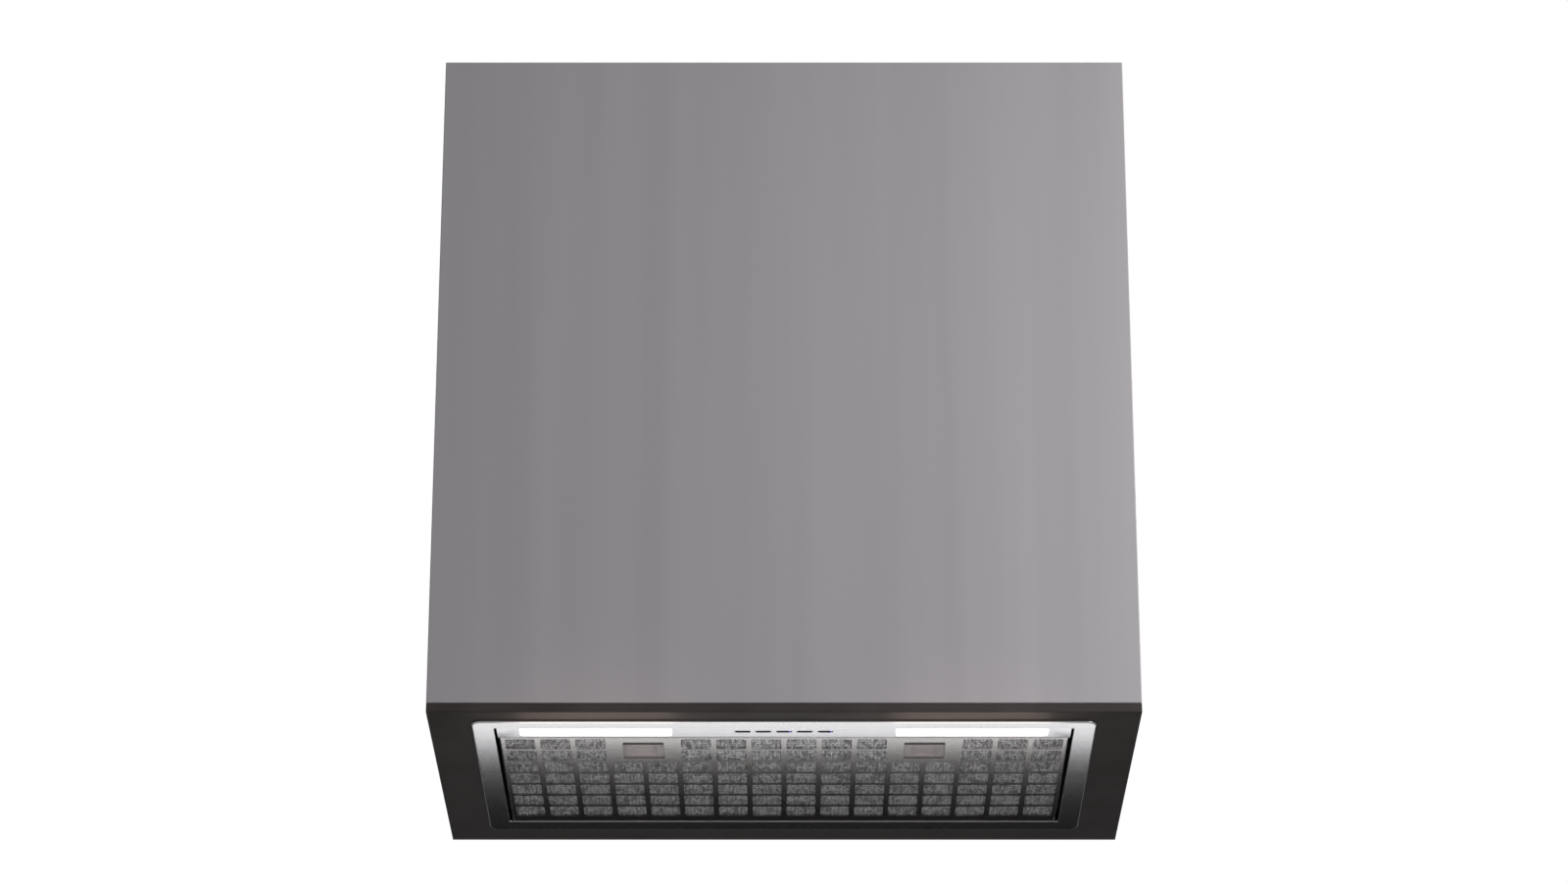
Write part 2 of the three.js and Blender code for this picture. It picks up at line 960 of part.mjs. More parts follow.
function filterPanel() {
  const rect = (inset) =>
    rectangle(
      -panel.half + inset,
      panel.half - inset,
      panel.front + inset,
      panel.back - inset,
    );
  const through = [filter.face - lap, panel.inside + lap];
  const latchHoles = SIDES.map(({ sign }) =>
    block(
      [sign * latchX - latch.openingWidth / 2, sign * latchX + latch.openingWidth / 2],
      [latchOpening.low, latchOpening.high],
      through,
    ),
  );
  const face = without(
    prism("z", rect(0), filter.face, panel.inside),
    ...filterWindows(through),
    ...latchHoles,
  );
  const overlap = filter.thickness / 2;
  const tabs = Array.from({ length: filter.tabs }, (_, i) => {
    const x = (i - (filter.tabs - 1) / 2) * filter.tabSpacing;
    return block(
      [x - filter.tabWidth / 2, x + filter.tabWidth / 2],
      [panel.back - filter.wall, panel.back + filter.tabReach],
      [flange.thickness + seat, flange.thickness + seat + filter.thickness],
    );
  });
  const noseSlots = SIDES.map(({ sign }) =>
    block(
      [
        sign * latchX - latch.noseWidth / 2 - latch.sideFit,
        sign * latchX + latch.noseWidth / 2 + latch.sideFit,
      ],
      [panel.front - lap, panel.front + filter.wall + lap],
      [keeper.bottom - keeper.play, keeper.top + keeper.play],
    ),
  );
  const made = joined(
    face,
    prism("z", withHoles(rect(0), rect(filter.wall)), panel.inside - overlap, panel.top),
    prism("z", withHoles(rect(0), rect(filter.lip)), panel.top - filter.thickness, panel.top),
    ...tabs,
  );
  return piece("filter_panel", MATERIALS.stainless, without(made, ...noseSlots));
}

function filterLayers() {
  const inset = filter.wall + seat;
  const rect = (extra = 0) =>
    rectangle(
      -panel.half + inset + extra,
      panel.half - inset - extra,
      panel.front + inset + extra,
      panel.back - inset - extra,
    );
  const meshBottom = panel.inside + seat;
  const meshTop = meshBottom + filter.meshThickness;
  const guideHoles = SIDES.map(({ sign }) =>
    block(
      [sign * latchX - guide.half - seat, sign * latchX + guide.half + seat],
      [guide.front - seat, guide.back + seat],
      [meshBottom - lap, meshTop + lap],
    ),
  );
  const noseLanes = SIDES.map(({ sign }) =>
    block(
      [
        sign * latchX - latch.noseWidth / 2 - latch.sideFit,
        sign * latchX + latch.noseWidth / 2 + latch.sideFit,
      ],
      [panel.front, guide.front],
      [meshBottom - lap, meshTop + lap],
    ),
  );
  const mesh = without(
    prism("z", rect(), meshBottom, meshTop),
    ...guideHoles,
    ...noseLanes,
  );
  const gridBottom = meshTop + seat;
  const stepX = (2 * (panel.half - inset) - filter.gridBar) / filter.gridColumns;
  const stepY = (panel.back - panel.front - 2 * inset - filter.gridBar) / filter.gridRows;
  const holes = [];
  for (let column = 0; column < filter.gridColumns; column += 1) {
    for (let row = 0; row < filter.gridRows; row += 1) {
      const x = -panel.half + inset + filter.gridBar + column * stepX;
      const y = panel.front + inset + filter.gridBar + row * stepY;
      holes.push(
        block(
          [x, x + stepX - filter.gridBar],
          [y, y + stepY - filter.gridBar],
          [gridBottom - lap, gridBottom + filter.gridThickness + lap],
        ),
      );
    }
  }
  const grid = without(
    prism("z", rect(), gridBottom, gridBottom + filter.gridThickness),
    ...holes,
  );
  return [
    piece("filter_mesh", MATERIALS.aluminium, mesh),
    piece("filter_back_grid", MATERIALS.aluminium, grid),
  ];
}

function latchPieces() {
  return SIDES.flatMap(({ name, sign }) => {
    const x = sign * latchX;
    const wide = (half) => [x - half, x + half];
    const slideHalf = latch.plateWidth / 2;
    const plateFront = latchOpening.low + latch.frontSlot;
    const plateBack = guide.back - latch.guideBackWall - latch.travel - seat;
    const plateBottom = panel.inside + seat;
    const padMiddle = (latchOpening.low + latchOpening.high) / 2;
    const padYs = [padMiddle - latch.pad / 2, padMiddle + latch.pad / 2];
    const slider = joined(
      block(
        wide(slideHalf),
        [plateFront, plateBack],
        [plateBottom, plateBottom + latch.plateThickness],
      ),
      block(
        wide(latch.noseWidth / 2),
        [stripPlate.back + latch.keeperGap, plateFront + lap],
        [keeper.bottom, keeper.top],
      ),
      block(
        wide(latch.pad / 2),
        padYs,
        [plateBottom - latch.padDrop, plateBottom + latch.plateThickness / 2],
      ),
    );
    const cavity = block(
      wide(slideHalf + latch.sideFit),
      [guide.front - lap, guide.back - latch.guideBackWall],
      [guide.bottom - lap, guide.cover],
    );
    const cover = without(
      block(wide(guide.half), [guide.front, guide.back], [guide.bottom, guide.top]),
      cavity,
    );
    return [
      piece(`latch_guide_${name}`, MATERIALS.carrier, cover),
      piece(`latch_${name}`, MATERIALS.latch, slider),
    ];
  });
}

// ---------------------------------------------------------------- blower

// The scroll seen along its axis, with Y across and Z up. The radius grows evenly from the tongue
// round to the neck's outer wall. The air passage has no extra, and the outside has the wall's.
function scrollOutline(neckTop, extra) {
  const tongue = THREE.MathUtils.degToRad(180 - scroll.tongueAngle);
  const sweep = 2 * Math.PI - tongue;
  const spiral = Array.from({ length: scroll.steps + 1 }, (_, i) => {
    const share = i / scroll.steps;
    const radius = passage.tightRadius + scroll.spread * share + extra;
    const angle = tongue + sweep * share;
    return new THREE.Vector2(
      axis.y + radius * Math.cos(angle),
      axis.z + radius * Math.sin(angle),
    );
  });
  const tongueY = neckBack - scroll.neck - extra;
  return new THREE.Shape([
    ...spiral,
    new THREE.Vector2(neckBack + extra, neckTop),
    new THREE.Vector2(tongueY, neckTop),
    new THREE.Vector2(tongueY, axis.z + passage.tightRadius + scroll.tongueReach),
  ]);
}

function scrollHalves() {
  const neckTop = box.top - sheet - seat;
  return SIDES.map(({ name, sign }) => {
    const near = sign * (seat / 2);
    const far = sign * scrollHalf;
    const made = without(
      prism("x", scrollOutline(neckTop, scroll.wall), near, far),
      prism("x", scrollOutline(neckTop + lap, 0), near - sign * lap, sign * passage.half),
      rod("x", [axis.y, axis.z], inletRadius, near, far + sign * lap, coarseArc),
    );
    return piece(`scroll_${name}`, MATERIALS.scroll, made);
  });
}

// A ring about the blower's axis.
function axisRing(inner, outer, from, to, sides = coarseArc) {
  return without(
    rod("x", [axis.y, axis.z], outer, from, to, sides),
    rod("x", [axis.y, axis.z], inner, Math.min(from, to) - lap, Math.max(from, to) + lap, sides),
  );
}

function impellerPiece() {
  const { innerRadius, outerRadius, halfWidth, ring, disc } = impeller;
  const centre = [axis.y, axis.z];
  const lean = THREE.MathUtils.degToRad(impeller.bladeLean);
  const blades = Array.from({ length: impeller.blades }, (_, i) => {
    const turn = (2 * Math.PI * i) / impeller.blades;
    const middle = (innerRadius + outerRadius) / 2;
    const halfLength = (outerRadius - innerRadius) / 2 - impeller.bladeInset;
    const corners = [
      [-halfLength, -impeller.bladeWall / 2],
      [halfLength, -impeller.bladeWall / 2],
      [halfLength, impeller.bladeWall / 2],
      [-halfLength, impeller.bladeWall / 2],
    ].map(([u, v]) =>
      new THREE.Vector2(u, v)
        .rotateAround(new THREE.Vector2(), lean)
        .add(new THREE.Vector2(middle, 0))
        .rotateAround(new THREE.Vector2(), turn)
        .add(new THREE.Vector2(axis.y, axis.z)),
    );
    return prism("x", new THREE.Shape(corners), -halfWidth, halfWidth);
  });
  const rings = [-1, 1].map((sign) =>
    axisRing(
      innerRadius - impeller.ringLap,
      outerRadius + impeller.ringLap,
      sign * (halfWidth - ring / 2),
      sign * (halfWidth + ring / 2),
      impeller.blades,
    ),
  );
  const wheel = joined(
    rod("x", centre, outerRadius - impeller.discInset, -disc / 2, disc / 2, impeller.blades),
    rod("x", centre, impeller.hubRadius, -disc / 2, impeller.hubLength, fineArc),
    ...blades,
    ...rings,
  );
  const bore = rod(
    "x",
    centre,
    motor.shaftRadius + seat / 2,
    -disc,
    impeller.hubLength + lap,
    fineArc,
  );
  return piece("impeller", MATERIALS.impeller, without(wheel, bore));
}

function motorPieces() {
  const centre = [axis.y, axis.z];
  const bracketX = [-scrollHalf - seat, -scrollHalf - seat - motor.bracketWall];
  const can = without(
    joined(
      rod("x", centre, motor.radius, -motor.far, -motor.near - motor.bellFront, coarseArc),
      rod(
        "x",
        centre,
        motor.radius - motor.bellInset,
        -motor.far - motor.bellBack,
        -motor.near,
        coarseArc,
      ),
    ),
    rod(
      "x",
      centre,
      motor.shaftRadius + motor.boreFit,
      -motor.near - motor.boreDepth,
      -motor.near + lap,
      fineArc,
    ),
  );
  const shaft = rod(
    "x",
    centre,
    motor.shaftRadius,
    -motor.near - motor.boreDepth + motor.boreFit,
    motor.shaftEnd,
    fineArc,
  );
  const sleeveRadius = motor.radius + seat;
  const ringInner = inletRadius + motor.ringGap;
  const arms = Array.from({ length: motor.arms }, (_, i) => {
    const turn = (2 * Math.PI * i) / motor.arms + Math.PI / 2;
    const corners = [
      [sleeveRadius + lap, -motor.armWidth / 2],
      [ringInner + lap, -motor.armWidth / 2],
      [ringInner + lap, motor.armWidth / 2],
      [sleeveRadius + lap, motor.armWidth / 2],
    ].map(([u, v]) =>
      new THREE.Vector2(u, v)
        .rotateAround(new THREE.Vector2(), turn)
        .add(new THREE.Vector2(axis.y, axis.z)),
    );
    return prism("x", new THREE.Shape(corners), ...bracketX);
  });
  const bracket = joined(
    axisRing(ringInner, ringInner + motor.bracketRing, ...bracketX),
    axisRing(sleeveRadius, sleeveRadius + motor.sleeve, ...bracketX),
    ...arms,
  );
  return [
    piece("motor", MATERIALS.motor, can),
    piece("motor_shaft", MATERIALS.motor, shaft),
    piece("motor_bracket", MATERIALS.zinc, bracket),
  ];
}

// ---------------------------------------------------------------- outlet and dampers

const pinSides = 12;
const damperAxisZ = box.top + seat + collar.stopHeight + collar.stopThickness + seat
  + damper.knuckleRadius;

function outletCollar() {
  const base = collar.radius + collar.baseReach;
  const bottom = box.top + seat;
  const inner = collar.radius - collar.wall;
  const centre = [0, outletY];
  const baseShape = roundedRectangle(
    -base,
    base,
    outletY - base,
    outletY + base,
    collar.baseCorner,
  );
  const stopBottom = bottom + collar.stopHeight;
  const tube = joined(
    prism("z", baseShape, bottom, bottom + collar.baseThickness, 4),
    rod("z", centre, collar.radius, bottom, bottom + collar.height, 2 * coarseArc),
  );
  const bored = without(
    tube,
    rod("z", centre, inner, bottom - lap, bottom + collar.height + lap, 2 * coarseArc),
  );
  const stop = without(
    rod(
      "z",
      centre,
      inner + collar.wall / 2,
      stopBottom,
      stopBottom + collar.stopThickness,
      2 * coarseArc,
    ),
    rod(
      "z",
      centre,
      inner - collar.stopWidth,
      stopBottom - lap,
      stopBottom + collar.stopThickness + lap,
      2 * coarseArc,
    ),
  );
  const pinHole = rod(
    "x",
    [outletY, damperAxisZ],
    damper.pinRadius + seat / 2,
    -collar.radius - lap,
    collar.radius + lap,
    pinSides,
  );
  return piece("outlet_collar", MATERIALS.damper, without(joined(bored, stop), pinHole));
}

// Two half-round flaps on one pin. Their knuckles take turns along it.
function dampers() {
  const radius = collar.radius - collar.wall - damper.play;
  const flapBottom = damperAxisZ - damper.knuckleRadius;
  const tongues = [
    { name: "front", sign: -1, knuckles: [-2, 2] },
    { name: "back", sign: 1, knuckles: [-1, 1] },
  ];
  const flaps = tongues.map(({ name, sign, knuckles }) => {
    const start = Math.asin(damper.middleGap / radius);
    const arc = new THREE.Shape().absarc(
      0,
      outletY,
      radius,
      sign > 0 ? start : Math.PI + start,
      sign > 0 ? Math.PI - start : 2 * Math.PI - start,
      false,
    );
    const barrels = knuckles.map((k) => {
      const x = Math.sign(k) * (Math.abs(k) - 0.5) * (damper.knuckle + damper.knuckleGap);
      return {
        barrel: rod(
          "x",
          [outletY, damperAxisZ],
          damper.knuckleRadius,
          x - damper.knuckle / 2,
          x + damper.knuckle / 2,
          pinSides,
        ),
        web: block(
          [x - damper.knuckle / 2, x + damper.knuckle / 2],
          [outletY, outletY + sign * (damper.middleGap + lap)],
          [flapBottom, flapBottom + damper.thickness],
        ),
      };
    });
    const bore = rod(
      "x",
      [outletY, damperAxisZ],
      damper.knuckleBore,
      -collar.radius,
      collar.radius,
      pinSides,
    );
    const made = without(
      joined(
        prism("z", arc, flapBottom, flapBottom + damper.thickness, coarseArc),
        ...barrels.flatMap(({ barrel, web }) => [barrel, web]),
      ),
      bore,
    );
    return piece(`damper_${name}`, MATERIALS.damper, made);
  });
  const pinEnd = collar.radius - collar.wall / 4;
  const pin = rod("x", [outletY, damperAxisZ], damper.pinRadius, -pinEnd, pinEnd, pinSides);
  return [...flaps, piece("damper_pin", MATERIALS.motor, pin)];
}

// ---------------------------------------------------------------- electrics

const boxX = -(shell.half - controlBox.inset - controlBox.width / 2);
const boxFront = blowerY - controlBox.depth / 2;

function controlPieces() {
  const { wall, width, depth, height, boardStand, boardThickness, boardInset } = controlBox;
  const bottom = shell.deck + seat;
  const xs = [boxX - width / 2, boxX + width / 2];
  const ys = [boxFront, boxFront + depth];
  const inXs = [xs[0] + wall, xs[1] - wall];
  const inYs = [ys[0] + wall, ys[1] - wall];
  const floor = bottom + wall;
  const glandZ = bottom + gland.height;
  const corners = [0, 1].flatMap((i) => [0, 1].map((j) => [i, j]));
  const posts = corners.map(([i, j]) => {
    const x = inXs[i] + (i ? -1 : 1) * (boardInset + controlBox.postInset);
    const y = inYs[j] + (j ? -1 : 1) * (boardInset + controlBox.postInset);
    return rod("z", [x, y], controlBox.postRadius, floor - wall / 2, floor + boardStand, 8);
  });
  const tray = without(
    joined(
      without(
        block(xs, ys, [bottom, bottom + height]),
        block(inXs, inYs, [floor, bottom + height + lap]),
      ),
      ...posts,
    ),
    rod(
      "y",
      [boxX, glandZ],
      gland.radius + seat,
      inYs[1] - lap,
      ys[1] + lap,
      fineArc,
    ),
  );
  const lidBottom = bottom + height + seat;
  const lid = joined(
    block(xs, ys, [lidBottom, lidBottom + controlBox.lid]),
    without(
      block(
        [inXs[0] + seat, inXs[1] - seat],
        [inYs[0] + seat, inYs[1] - seat],
        [lidBottom - controlBox.lidSkirt, lidBottom + lap],
      ),
      block(
        [inXs[0] + seat + wall, inXs[1] - seat - wall],
        [inYs[0] + seat + wall, inYs[1] - seat - wall],
        [lidBottom - controlBox.lidSkirt - lap, lidBottom],
      ),
    ),
  );
  const boardBottomZ = floor + boardStand + seat;
  const boardTop = boardBottomZ + boardThickness;
  const boardXs = [inXs[0] + boardInset, inXs[1] - boardInset];
  const boardYs = [inYs[0] + boardInset, inYs[1] - boardInset - gland.boardRoom];
  const mounted = [transformer, relay].map((made) =>
    block(
      made.xs.map((x) => boxX + x),
      made.ys.map((y) => boardYs[0] + y),
      [boardTop - boardThickness / 2, boardTop + made.height],
    ),
  );
  const pcb = joined(block(boardXs, boardYs, [boardBottomZ, boardTop]), ...mounted);
  const [terminalX, terminalY, terminalZ] = controlBox.terminal;
  const terminalBack = boardYs[1] - controlBox.terminalInset;
  const terminal = block(
    [boxX - terminalX / 2, boxX + terminalX / 2],
    [terminalBack - terminalY, terminalBack],
    [boardTop + seat, boardTop + seat + terminalZ],
  );
  const glandEnds = [inYs[1] - gland.inside, ys[1] + gland.outside];
  const glandBody = without(
    joined(
      rod("y", [boxX, glandZ], gland.radius, ...glandEnds, fineArc),
      rod(
        "y",
        [boxX, glandZ],
        gland.collarRadius,
        ys[1] + seat,
        ys[1] + seat + gland.collarLength,
        6,
      ),
    ),
    rod("y", [boxX, glandZ], gland.bore, glandEnds[0] - lap, glandEnds[1] + lap, fineArc),
  );
  return [
    piece("control_box", MATERIALS.enclosure, tray),
    piece("control_box_lid", MATERIALS.enclosure, lid),
    piece("control_board", MATERIALS.board, pcb),
    piece("terminal_block", MATERIALS.enclosure, terminal),
    piece("cable_gland", MATERIALS.carrier, glandBody),
  ];
}

const driverX = shell.half - driver.inset - driver.width / 2;
const driverFront = blowerY - driver.depth + driver.behindMiddle;

function ledDriver() {
  const bottom = shell.deck + seat;
  const xs = [driverX - driver.width / 2, driverX + driver.width / 2];
  const ys = [driverFront, driverFront + driver.depth];
  const made = joined(
    block(xs, ys, [bottom, bottom + driver.height]),
    block(
      [driverX - driver.width / 4, driverX + driver.width / 4],
      [ys[0] - driver.ear, ys[1] + driver.ear],
      [bottom, bottom + driver.earThickness],
    ),
  );
  return piece("led_driver", MATERIALS.enclosure, made);
}

function motorCapacitor() {
  const z = shell.deck + seat + capacitor.radius;
  const start = driverFront + driver.depth + driver.ear + capacitor.gap;
  const made = joined(
    rod("y", [driverX, z], capacitor.radius, start, start + capacitor.length, 24),
    rod(
      "y",
      [driverX, z],
      capacitor.radius - capacitor.capInset,
      start - capacitor.cap,
      start + lap,
      24,
    ),
  );
  return piece("motor_capacitor", MATERIALS.motor, made);
}

// A round tube along a smooth line through the points.
function tube(points, steps) {
  const curve = new THREE.CatmullRomCurve3(
    points.map((p) => new THREE.Vector3(...p)),
    false,
    "centripetal",
  );
  const section = new THREE.Shape(
    Array.from({ length: harness.sides }, (_, i) => {
      const turn = (2 * Math.PI * i) / harness.sides;
      return new THREE.Vector2(
        harness.radius * Math.cos(turn),
        harness.radius * Math.sin(turn),
      );
    }),
  );
  return solid(new THREE.ExtrudeGeometry(section, { steps, extrudePath: curve }));
}

function harnesses() {
  const wireZ = shell.deck + seat + harness.rise;
  const carrierTop = trough.top + seat;
  const overDeck = [lensY + harness.deckLead, shell.deck + harness.aboveDeck];
  const underDeck = [lensY, shell.deck - harness.belowDeck];
  const lightRun = [
    [wireX, driverFront - seat, wireZ],
    [wireX, driverFront - harness.bend, wireZ],
    [wireX, ...overDeck],
    [wireX, ...underDeck],
    [wireX, lensY, carrierTop + harness.endDrop],
    [wireX, lensY, carrierTop],
  ];
  const panelRun = [
    [-wireX, boxFront - seat, wireZ],
    [-wireX, boxFront - harness.bend, wireZ],
    [-wireX, ...overDeck],
    [-wireX, ...underDeck],
    [-wireX + harness.turnLead, lensY, carrierTop + harness.turnHeight],
    [-wireX + harness.layLead, lensY, carrierTop + harness.layHeight],
    [-harness.panelEnd - harness.layLead, lensY, carrierTop + harness.layHeight],
    [-harness.panelEnd, lensY, carrierTop + harness.endHeight],
    [-harness.panelEnd, lensY, carrierTop],
  ];
  const boxSide = boxX + controlBox.width / 2 + seat;
  const shellSide = -box.halfX - seat;
  const { motorStraight, motorEase } = harness;
  const motorZ = wireZ + harness.motorRise;
  const motorRun = [
    [boxSide, blowerY, wireZ],
    [boxSide + motorStraight, blowerY, wireZ],
    [boxSide + 2 * motorStraight, blowerY, wireZ + motorEase],
    [shellSide - 2 * motorStraight, blowerY, motorZ - motorEase],
    [shellSide - motorStraight, blowerY, motorZ],
    [shellSide, blowerY, motorZ],
  ];
  return [
    piece("harness_light", MATERIALS.cable, tube(lightRun, 24)),
    piece("harness_panel", MATERIALS.cable, tube(panelRun, 48)),
    piece("harness_motor", MATERIALS.cable, tube(motorRun, 10)),
  ];
}

// ---------------------------------------------------------------- the whole object

const insert = groupAt(
  insertPlace,
  bezelFrame(),
  lowerHousing(),
  upperHousing(),
  ...clampBrackets(),
  controlStrip(),
  lightCarrier(),
  ...lensPieces(),
  ...ledBoards(),
  ...buttons(),
  switchBoardPiece(),
  filterPanel(),
  ...filterLayers(),
  ...latchPieces(),
  ...scrollHalves(),
  impellerPiece(),
  ...motorPieces(),
  outletCollar(),
  ...dampers(),
  ...controlPieces(),
  ledDriver(),
  motorCapacitor(),
  ...harnesses(),
);

const hood = new THREE.Group();
hood.add(surroundBoards(), surroundBase(), insert);

export default hood;
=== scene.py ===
"""Looks of a range hood insert that hangs in its plain grey surround.

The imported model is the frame: metres, +Z up, the front faces -Y, and the origin lies under the
middle of the surround, level with the underside of the insert's flange. Sizes in the classes
below are millimetres, as on a maker's drawing, and `mm` turns them into metres.
"""

from __future__ import annotations

import json
import logging
import math
from collections.abc import Callable, Iterable, Sequence
from dataclasses import dataclass, field
from enum import Enum

import bmesh
import bpy
from mathutils import Matrix, Vector

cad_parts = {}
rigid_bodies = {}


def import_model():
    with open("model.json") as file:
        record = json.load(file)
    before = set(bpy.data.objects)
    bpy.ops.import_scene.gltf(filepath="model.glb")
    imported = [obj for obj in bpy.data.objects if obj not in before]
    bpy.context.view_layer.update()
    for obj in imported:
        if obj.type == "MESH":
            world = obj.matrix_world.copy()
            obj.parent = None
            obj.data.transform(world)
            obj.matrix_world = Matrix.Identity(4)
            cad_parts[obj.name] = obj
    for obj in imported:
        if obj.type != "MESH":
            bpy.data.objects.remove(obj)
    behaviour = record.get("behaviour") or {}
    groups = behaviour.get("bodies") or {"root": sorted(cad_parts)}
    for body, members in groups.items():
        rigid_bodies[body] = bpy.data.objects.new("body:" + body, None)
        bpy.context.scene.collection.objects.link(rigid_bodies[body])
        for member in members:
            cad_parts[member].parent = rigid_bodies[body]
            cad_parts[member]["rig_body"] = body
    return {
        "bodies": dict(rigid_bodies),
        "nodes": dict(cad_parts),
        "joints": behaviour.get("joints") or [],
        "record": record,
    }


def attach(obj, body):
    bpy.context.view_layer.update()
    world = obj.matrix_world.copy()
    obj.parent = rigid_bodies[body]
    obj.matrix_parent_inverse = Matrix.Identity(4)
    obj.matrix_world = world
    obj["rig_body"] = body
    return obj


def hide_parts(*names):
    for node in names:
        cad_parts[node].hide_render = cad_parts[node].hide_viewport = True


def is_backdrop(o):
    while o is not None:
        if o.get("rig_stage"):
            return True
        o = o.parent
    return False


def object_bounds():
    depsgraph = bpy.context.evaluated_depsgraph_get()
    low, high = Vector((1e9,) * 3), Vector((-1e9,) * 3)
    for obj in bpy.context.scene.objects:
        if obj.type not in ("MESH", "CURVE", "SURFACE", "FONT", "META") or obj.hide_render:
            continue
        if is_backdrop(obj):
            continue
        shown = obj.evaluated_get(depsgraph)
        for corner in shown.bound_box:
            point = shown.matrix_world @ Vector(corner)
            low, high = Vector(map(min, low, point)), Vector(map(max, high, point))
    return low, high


LOG = logging.getLogger("hood")
MM = 0.001
SIDES = (("left", -1), ("right", 1))
ENDS = ("front", "back")
EASED_ABOVE = math.radians(35)  # the easing rounds edges that turn by more than this
SHARP_ABOVE = math.radians(46)  # shading breaks at edges that turn by more than this
WAVE_REPEAT = math.pi / 10  # how far a wave texture of scale 1 runs before it repeats

Colour = tuple[float, float, float, float]
Pair = tuple[float, float]
Point = tuple[float, float, float]
Row = tuple[float, ...]
Profile = tuple[Pair, ...]
Layers = tuple[tuple[float, float, float, float], ...]
Material = bpy.types.Material
Node = bpy.types.Node
Object = bpy.types.Object
Socket = bpy.types.NodeSocket
Tree = bpy.types.NodeTree
Mesh = bmesh.types.BMesh
Detail = Callable[[Mesh], None]


class Body(str, Enum):
    """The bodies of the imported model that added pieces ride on."""

    FRAME = "frame"
    FILTER = "filter"


class Slot(str, Enum):
    """The record's material slots that pieces are made in."""

    LACQUER = "lacquer"
    ANTHRACITE = "anthracite"
    STAINLESS = "stainless"
    STRIP_STEEL = "strip_steel"
    ZINC = "zinc"
    ALUMINIUM = "aluminium"
    LENS = "lens"
    CARRIER = "carrier"
    BUTTON = "button"
    LATCH = "latch"
    SCROLL = "scroll"
    MOTOR = "motor"
    DAMPER = "damper"
    ENCLOSURE = "enclosure"
    CABLE = "cable"


def mm(x: float, y: float, z: float) -> Vector:
    """Turns a point in millimetres into metres."""
    return Vector((x, y, z)) * MM


def linear(code: str) -> Colour:
    """Turns an sRGB colour into linear light.

    Args:
        code: the colour as "#rrggbb".

    Returns:
        Red, green, blue and an alpha of 1.
    """
    shares = [int(code[i : i + 2], 16) / 255 for i in (1, 3, 5)]
    red, green, blue = (
        s / 12.92 if s <= 0.04045 else ((s + 0.055) / 1.055) ** 2.4 for s in shares
    )
    return red, green, blue, 1.0


def add_node(
    tree: Tree,
    kind: str,
    inputs: dict[str | int, object] | None = None,
    stops: Sequence[tuple[float, Colour]] = (),
    **settings: object,
) -> Node:
    """Adds a node with its settings, the values of its inputs and its links.

    Args:
        tree: the node tree that gets it.
        kind: Blender's name of the node.
        inputs: for each input, by name or number, its value, the socket to link from, or the
            node whose first output to link from.
        stops: position and colour of each stop, for a colour ramp.
        settings: the node's own properties.

    Returns:
        The new node.
    """
    node = tree.nodes.new(kind)
    for name, value in settings.items():
        setattr(node, name, value)
    if stops:
        elements = node.color_ramp.elements
        while len(elements) < len(stops):
            elements.new(1.0)
        for element, (position, colour) in zip(elements, stops):
            element.position, element.color = position, colour
    for name, value in (inputs or {}).items():
        source = value.outputs[0] if isinstance(value, Node) else value
        if isinstance(source, Socket):
            tree.links.new(source, node.inputs[name])
        else:
            node.inputs[name].default_value = source
    return node


def bare_material(name: str) -> Material:
    """Makes a material with an empty node tree."""
    made = bpy.data.materials.new(name)
    made.use_nodes = True
    made.node_tree.nodes.clear()
    return made


def scale(size: float) -> float:
    """Gives the texture scale at which a pattern's features are this size in millimetres."""
    return 1 / (size * MM)


def between(low: float, high: float) -> dict[str, float]:
    """Gives the inputs of a range node that set the lowest and highest value it gives."""
    return {"To Min": low, "To Max": high}


# ---------------------------------------------------------------- finishes


@dataclass(frozen=True)
class Finish:
    """What a surface is made of and how it was made.

    Attributes:
        name: the maker's word for it, which names the material.
    """

    name: str

    def material(self) -> Material:
        """Builds the material, its patterns placed by the piece's own coordinates."""
        made = bare_material(self.name)
        tree = made.node_tree
        place = add_node(tree, "ShaderNodeTexCoord").outputs["Object"]
        add_node(tree, "ShaderNodeOutputMaterial", {"Surface": self.shade(tree, place)})
        return made

    def shade(self, tree: Tree, place: Socket) -> Node:
        """Adds the shader and its patterns.

        Args:
            tree: the material's node tree.
            place: the piece's own coordinates, in metres.

        Returns:
            The shader.
        """
        raise NotImplementedError


@dataclass(frozen=True)
class Coat(Finish):
    """A finish whose tone, gloss and height each follow a pattern.

    Attributes:
        dark: its darkest tone, as "#rrggbb".
        light: its lightest tone.
        roughness: its lowest and highest roughness.
        relief: strength of its relief, and its depth in millimetres.
        plain: share of the tone's pattern that is plain dark, and share that is plain light.
    """

    dark: str
    light: str
    roughness: Pair
    relief: Pair
    plain: float

    def coat(
        self,
        tree: Tree,
        tone: Node | Socket,
        gloss: Node | Socket,
        height: Node | Socket,
        inputs: dict[str, object],
    ) -> Node:
        """Adds the shader that three patterns drive.

        Args:
            tree: the material's node tree.
            tone: the pattern that its tone follows.
            gloss: the pattern that its roughness follows.
            height: the pattern that its relief follows.
            inputs: what else is set on the shader.

        Returns:
            The shader.
        """
        stops = ((self.plain, linear(self.dark)), (1 - self.plain, linear(self.light)))
        strength, depth = self.relief
        driven = {
            "Base Color": add_node(tree, "ShaderNodeValToRGB", {"Fac": tone}, stops),
            "Roughness": add_node(
                tree, "ShaderNodeMapRange", {"Value": gloss, **between(*self.roughness)}
            ),
            "Normal": add_node(
                tree,
                "ShaderNodeBump",
                {"Height": height, "Strength": strength, "Distance": depth * MM},
            ),
        }
        return add_node(tree, "ShaderNodeBsdfPrincipled", {**driven, **inputs})


